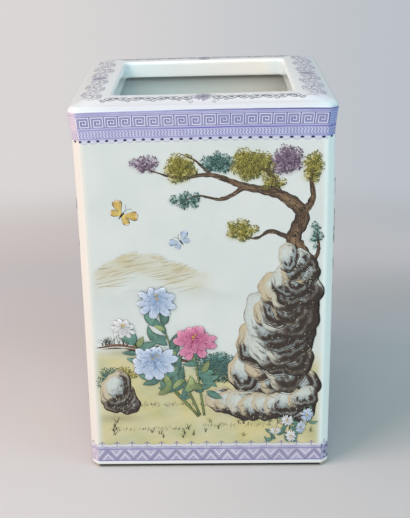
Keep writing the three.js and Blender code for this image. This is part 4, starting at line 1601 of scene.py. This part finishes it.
# Soft washes under the brushwork
class Wash:
    """Soft colours over a face: each coat covers those under it by an amount from 0 to 1."""

    def __init__(self, u, z):
        self.u, self.z = u, z
        self.colour, self.cover = np.zeros((len(u), 3)), np.zeros(len(u))

    def coat(self, colour, amount):
        """Lays a colour over what is there: both are weighed by what each still shows."""
        amount = np.clip(amount, 0, 1)
        left = self.cover * (1 - amount)
        self.cover = amount + left
        mixture = colour * amount[:, None] + self.colour * left[:, None]
        self.colour = mixture / np.maximum(self.cover, 1e-6)[:, None]

    def ground(self, knots, seed):
        """The near bank, from a line of knots down to the border, greener where it is damp."""
        line = np.interp(self.u, *np.array(knots, float).T)
        drift = waves(self.u, self.z, 34, seed)
        below = ease(line + 1.0, line - 9, self.z + drift * 2)
        shade = ease(-0.7, 0.8, waves(self.u, self.z * 2.4, 46, seed + 1))
        self.coat(mixed(bank_ochre, bank_green, shade), below * (0.80 + 0.14 * drift))

    def hills(self, knots, depth, colour, strength, seed):
        """A far ridge, strongest along its crest and lost in mist below."""
        crest = np.interp(self.u, *np.array(knots, float).T) + waves(self.u, self.u * 0, 17, seed) * 1.3
        fall = ease(crest - depth, crest - 1, self.z) * ease(crest + 0.9, crest - 0.7, self.z)
        streak = 0.7 + 0.3 * waves(self.u, self.z * 3, 30, seed + 2)
        ends = ease(knots[0][0], knots[1][0], self.u) * ease(knots[-1][0], knots[-2][0], self.u)
        self.coat(colour, fall * streak * strength * ends)

    def glow(self, centre, reach, colour, strength):
        """An oval tint that fades outwards."""
        far = np.hypot((self.u - centre[0]) / reach[0], (self.z - centre[1]) / reach[1])
        self.coat(colour, ease(1, 0, far) * strength)


# Depths and seeds of the far washes, and the washes' margins on a face
hill_depth, mist_depth = 19, 14
hill_seed, mist_seed, ground_seed = 6, 16, 26
wash_sides, wash_foot, wash_top, wash_limit = 4.4, (12.0, 13.8), (17.5, 19.5), 15


def picture_wash(plan, u, z):
    """A face's soft colours: tints under the leaves, far hills, mist, ground and the damp earth by the
    rocks."""
    wash, seed = Wash(u, z), plan["seed"]
    for centre, reach, (light, dark, _) in [*plan.get("clumps", ()), *plan["bushes"]]:
        for spot, size in zip(*lumps(centre, reach)):
            wash.glow(spot, (size * 1.5, size * 1.4), light, 0.9)
            wash.glow(spot + [size * 0.35, -size * 0.5], (size * 0.95, size * 0.7), dark, 0.6)
    for centre, reach in plan.get("clouds", ()):
        wash.glow(centre, np.array(reach) * 1.4, teal_leaf[0], 0.5)
    wash.hills(plan["ridge"], hill_depth, far_ochre, 0.95, seed + hill_seed)
    wash.hills(plan["mist"], mist_depth, far_blue, 0.38, seed + mist_seed)
    wash.ground(plan["ground"], seed + ground_seed)
    for centre, reach in plan["damp"]:
        wash.glow(centre, reach, damp, 0.55)
    return wash


def wash_layer(skin):
    """Soft colours painted on the faces and along the top plate's sides, held by each vertex as a colour and
    how strongly it covers."""
    points = np.empty(len(skin.data.vertices) * 3, np.float32)
    skin.data.vertices.foreach_get("co", points)
    x, y, z = points.reshape(-1, 3).astype(float).T / MM
    colours, cover = np.zeros((len(z), 3)), np.zeros(len(z))
    for turns, plan in enumerate(plans):
        u, out = to_side(-turns, x, y)
        on = (-out > wall_half - 0.9) & (np.abs(u) < face_run / 2 + 0.6) & (z < pot_height - wash_limit)
        wash = picture_wash(plan, u[on], z[on])
        margin = ease(face_run / 2, face_run / 2 - wash_sides, np.abs(u[on]))
        margin *= ease(*wash_foot, z[on]) * ease(*(pot_height - np.array(wash_top)), z[on])
        colours[on], cover[on] = wash.colour, wash.cover * margin
    on = (z > pot_height - 1.6) & (np.maximum(np.abs(x), np.abs(y)) > mouth_half)
    x, y = np.abs(x[on]), np.abs(y[on])
    along = ease(6.4, 2.5, np.abs(x - rim_middle)) * ease(53, 47, y)
    colours[on], cover[on] = scroll_wash, 0.40 * along * (0.8 + 0.2 * waves(x, y, 9, 3))
    put_colours(skin, "wash", colours, cover)


# The stage
# The stage's colours hold painted light: lighter and warmer to the left, darker and cooler to the right, with
# painted shade behind the pot.
paper_lit, paper_shaded = (0.700, 0.672, 0.668), (0.505, 0.540, 0.582)
floor_lit_and_shaded = (0.622, 0.630, 0.640), (0.548, 0.568, 0.582)
near_shades = (0.905, 0.89, 0.90), (1.05, 1.06, 1.12)
shadow_edge = (0.90, 0.92, 0.95)
far_floor_shades = (1.03, 0.98, 0.97), (1.10, 1.12, 1.15)
far_paper_shades = (0.80, 0.77, 0.745), (0.78, 0.79, 0.80)
table_reach, table_steps = 6000, 24


def table_finish():
    """Pale paper with painted light: lighter and warm on the left, darker and cool on the right, with painted
    shade behind the pot and at the shadow's edge. Near the pot it takes the lamps' shadow, and further off it
    glows with its painted colour for the camera and for reflections. Distances are in metres."""
    finish = Finish("table_paper")
    x, y, _ = finish.parts(finish.place())
    fan = x / ((y + 0.54) | 0.3)
    cool = fan.step(-0.19, 0.21)
    floor = finish.blend(cool, *floor_lit_and_shaded)
    # Painted shade on the near floor behind the pot and at the shadow's edge, and painted light further back.
    shade = finish.coats(
        (1, 1, 1),
        (y.step(-0.07, 0.14), finish.blend(cool, *near_shades)),
        (y.band(0.13, 0.22, 0.04) * cool, shadow_edge),
        (y.step(0.21, 0.31), finish.blend(cool, *far_floor_shades)),
    )
    finish.surface(Base_Color=finish.tint(floor, shade), Roughness=0.9, Specular_IOR_Level=0.1)
    # A painted dim band in the far paper behind the pot.
    behind = y.step(0.48, 0.20) & y.step(-0.25, 0.0)
    paper = finish.blend(cool, paper_lit, paper_shaded)
    paper = finish.shaded(behind, paper, finish.blend(cool, *far_paper_shades))
    seen = finish.node("ShaderNodeLightPath", output="Is Camera Ray")
    for ray in ("Is Glossy Ray", "Is Transmission Ray"):
        seen = seen | finish.node("ShaderNodeLightPath", output=ray)
    away = (x * x + (y - 0.02) * (y - 0.02)).step(0.05, 0.20)
    lit = Value(finish, finish.shader.outputs[0])
    glow = finish.node("ShaderNodeEmission", {}, {"Color": paper})
    surface = finish.node("ShaderNodeMixShader", {}, [away * seen, lit, glow])
    finish.tree.links.new(surface.socket, finish.tree.nodes["Material Output"].inputs["Surface"])
    return finish.material


def make_table():
    """A table top that runs far back: a flat grid."""
    line = np.linspace(-table_reach, table_reach, table_steps + 1)
    x, y = np.meshgrid(line, line)
    block = np.arange(x.size).reshape(x.shape)
    quads = np.stack([block[:-1, :-1], block[:-1, 1:], block[1:, 1:], block[1:, :-1]], -1).reshape(-1, 4)
    table = mesh_object("table_top", np.column_stack([x.ravel(), y.ravel(), np.zeros(x.size)]), quads)
    table.data.materials.append(table_finish())


def lamp(name, place, size, watts, colour):
    """A soft rectangular lamp aimed at the middle of the pot."""
    light = bpy.data.lights.new(name, "AREA")
    light.shape = "RECTANGLE"
    light.size, light.size_y = size
    light.energy, light.color = watts, colour
    holder = bpy.data.objects.new(name, light)
    holder.location = place
    holder.rotation_euler = (Vector((0, 0, 0.1)) - Vector(place)).to_track_quat("-Z", "Y").to_euler()
    bpy.context.scene.collection.objects.link(holder)


def make_lights():
    """A warm key from the left, a weak blue fill from the right, a cool light in front and an even world,
    which the camera sees as the same pale paper as the table."""
    lamp("key_light", (-0.8, -0.45, 1.1), (0.8, 0.8), 13.5, (1.0, 0.74, 0.70))
    lamp("fill_light", (0.8, -0.45, 1.1), (0.8, 0.8), 3.0, (0.25, 0.70, 1.0))
    lamp("front_light", (0.0, -1.2, 0.75), (1.0, 0.6), 5.4, (0.80, 1.0, 0.98))
    world = bpy.data.worlds.new("studio")
    world.use_nodes = True
    nodes, links = world.node_tree.nodes, world.node_tree.links
    sky, paper = nodes["Background"], nodes.new("ShaderNodeBackground")
    for background, colour, strength in ((sky, (1.0, 1.0, 0.94), 0.44), (paper, paper_lit, 0.85)):
        background.inputs["Color"].default_value = (*colour, 1)
        background.inputs["Strength"].default_value = strength
    rays, choice = nodes.new("ShaderNodeLightPath"), nodes.new("ShaderNodeMixShader")
    for source, target in (
        (rays.outputs["Is Camera Ray"], choice.inputs[0]), (sky.outputs[0], choice.inputs[1]),
        (paper.outputs[0], choice.inputs[2]), (choice.outputs[0], nodes["World Output"].inputs[0]),
    ):
        links.new(source, target)
    bpy.context.scene.world = world


def make_camera():
    """The photograph's camera: its place, and its turn, tilt and roll, for an image of 410 by 518 pixels."""
    place = (0.00440, -0.54077, 0.29572)
    yaw, pitch, roll = (math.radians(a) for a in (-0.5760, -20.6030, -1.1121))
    focal_pixels, long_side, sensor = 1059.63, 518, 36.0
    forward = np.array([math.sin(yaw) * math.cos(pitch), math.cos(yaw) * math.cos(pitch), math.sin(pitch)])
    level_right = np.array([math.cos(yaw), -math.sin(yaw), 0])
    level_up = np.cross(level_right, forward)
    right = level_right * math.cos(roll) + level_up * math.sin(roll)
    up = level_up * math.cos(roll) - level_right * math.sin(roll)
    data = bpy.data.cameras.new("camera")
    data.sensor_width = sensor
    data.lens = focal_pixels * sensor / long_side
    data.clip_start, data.clip_end = 0.01, 50
    camera = bpy.data.objects.new("camera", data)
    camera.matrix_world = Matrix.Translation(place) @ Matrix((right, up, -forward)).transposed().to_4x4()
    bpy.context.scene.collection.objects.link(camera)
    bpy.context.scene.camera = camera


make_camera()
make_table()
make_lights()
skin = make_skin()
wash_layer(skin)
skin.data.materials.append(glaze_finish())
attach(skin, "root")
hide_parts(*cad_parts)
enamel_dark = enamel_finish("ink_enamel", 0.22, 0.25)
enamel_bright = enamel_finish("colour_enamel", 0.14, 0.45)
painters = (
    ("land", paint_land, enamel_dark), ("tree", paint_tree, enamel_dark),
    ("rock", paint_rocks, enamel_dark), ("flowers", paint_flowers, enamel_bright),
    ("verge", paint_verge, enamel_bright), ("butterflies", paint_butterflies, enamel_bright),
)
for turns, plan in enumerate(plans):
    for part, paint, enamel in painters:
        brush = Brushwork(f"{plan['name']}_{part}", on_face(turns))
        paint(brush, plan, np.random.default_rng(plan["seed"]))
        brush.make(enamel)
plate_scrolls()

bpy.context.scene.view_settings.view_transform = "Standard"
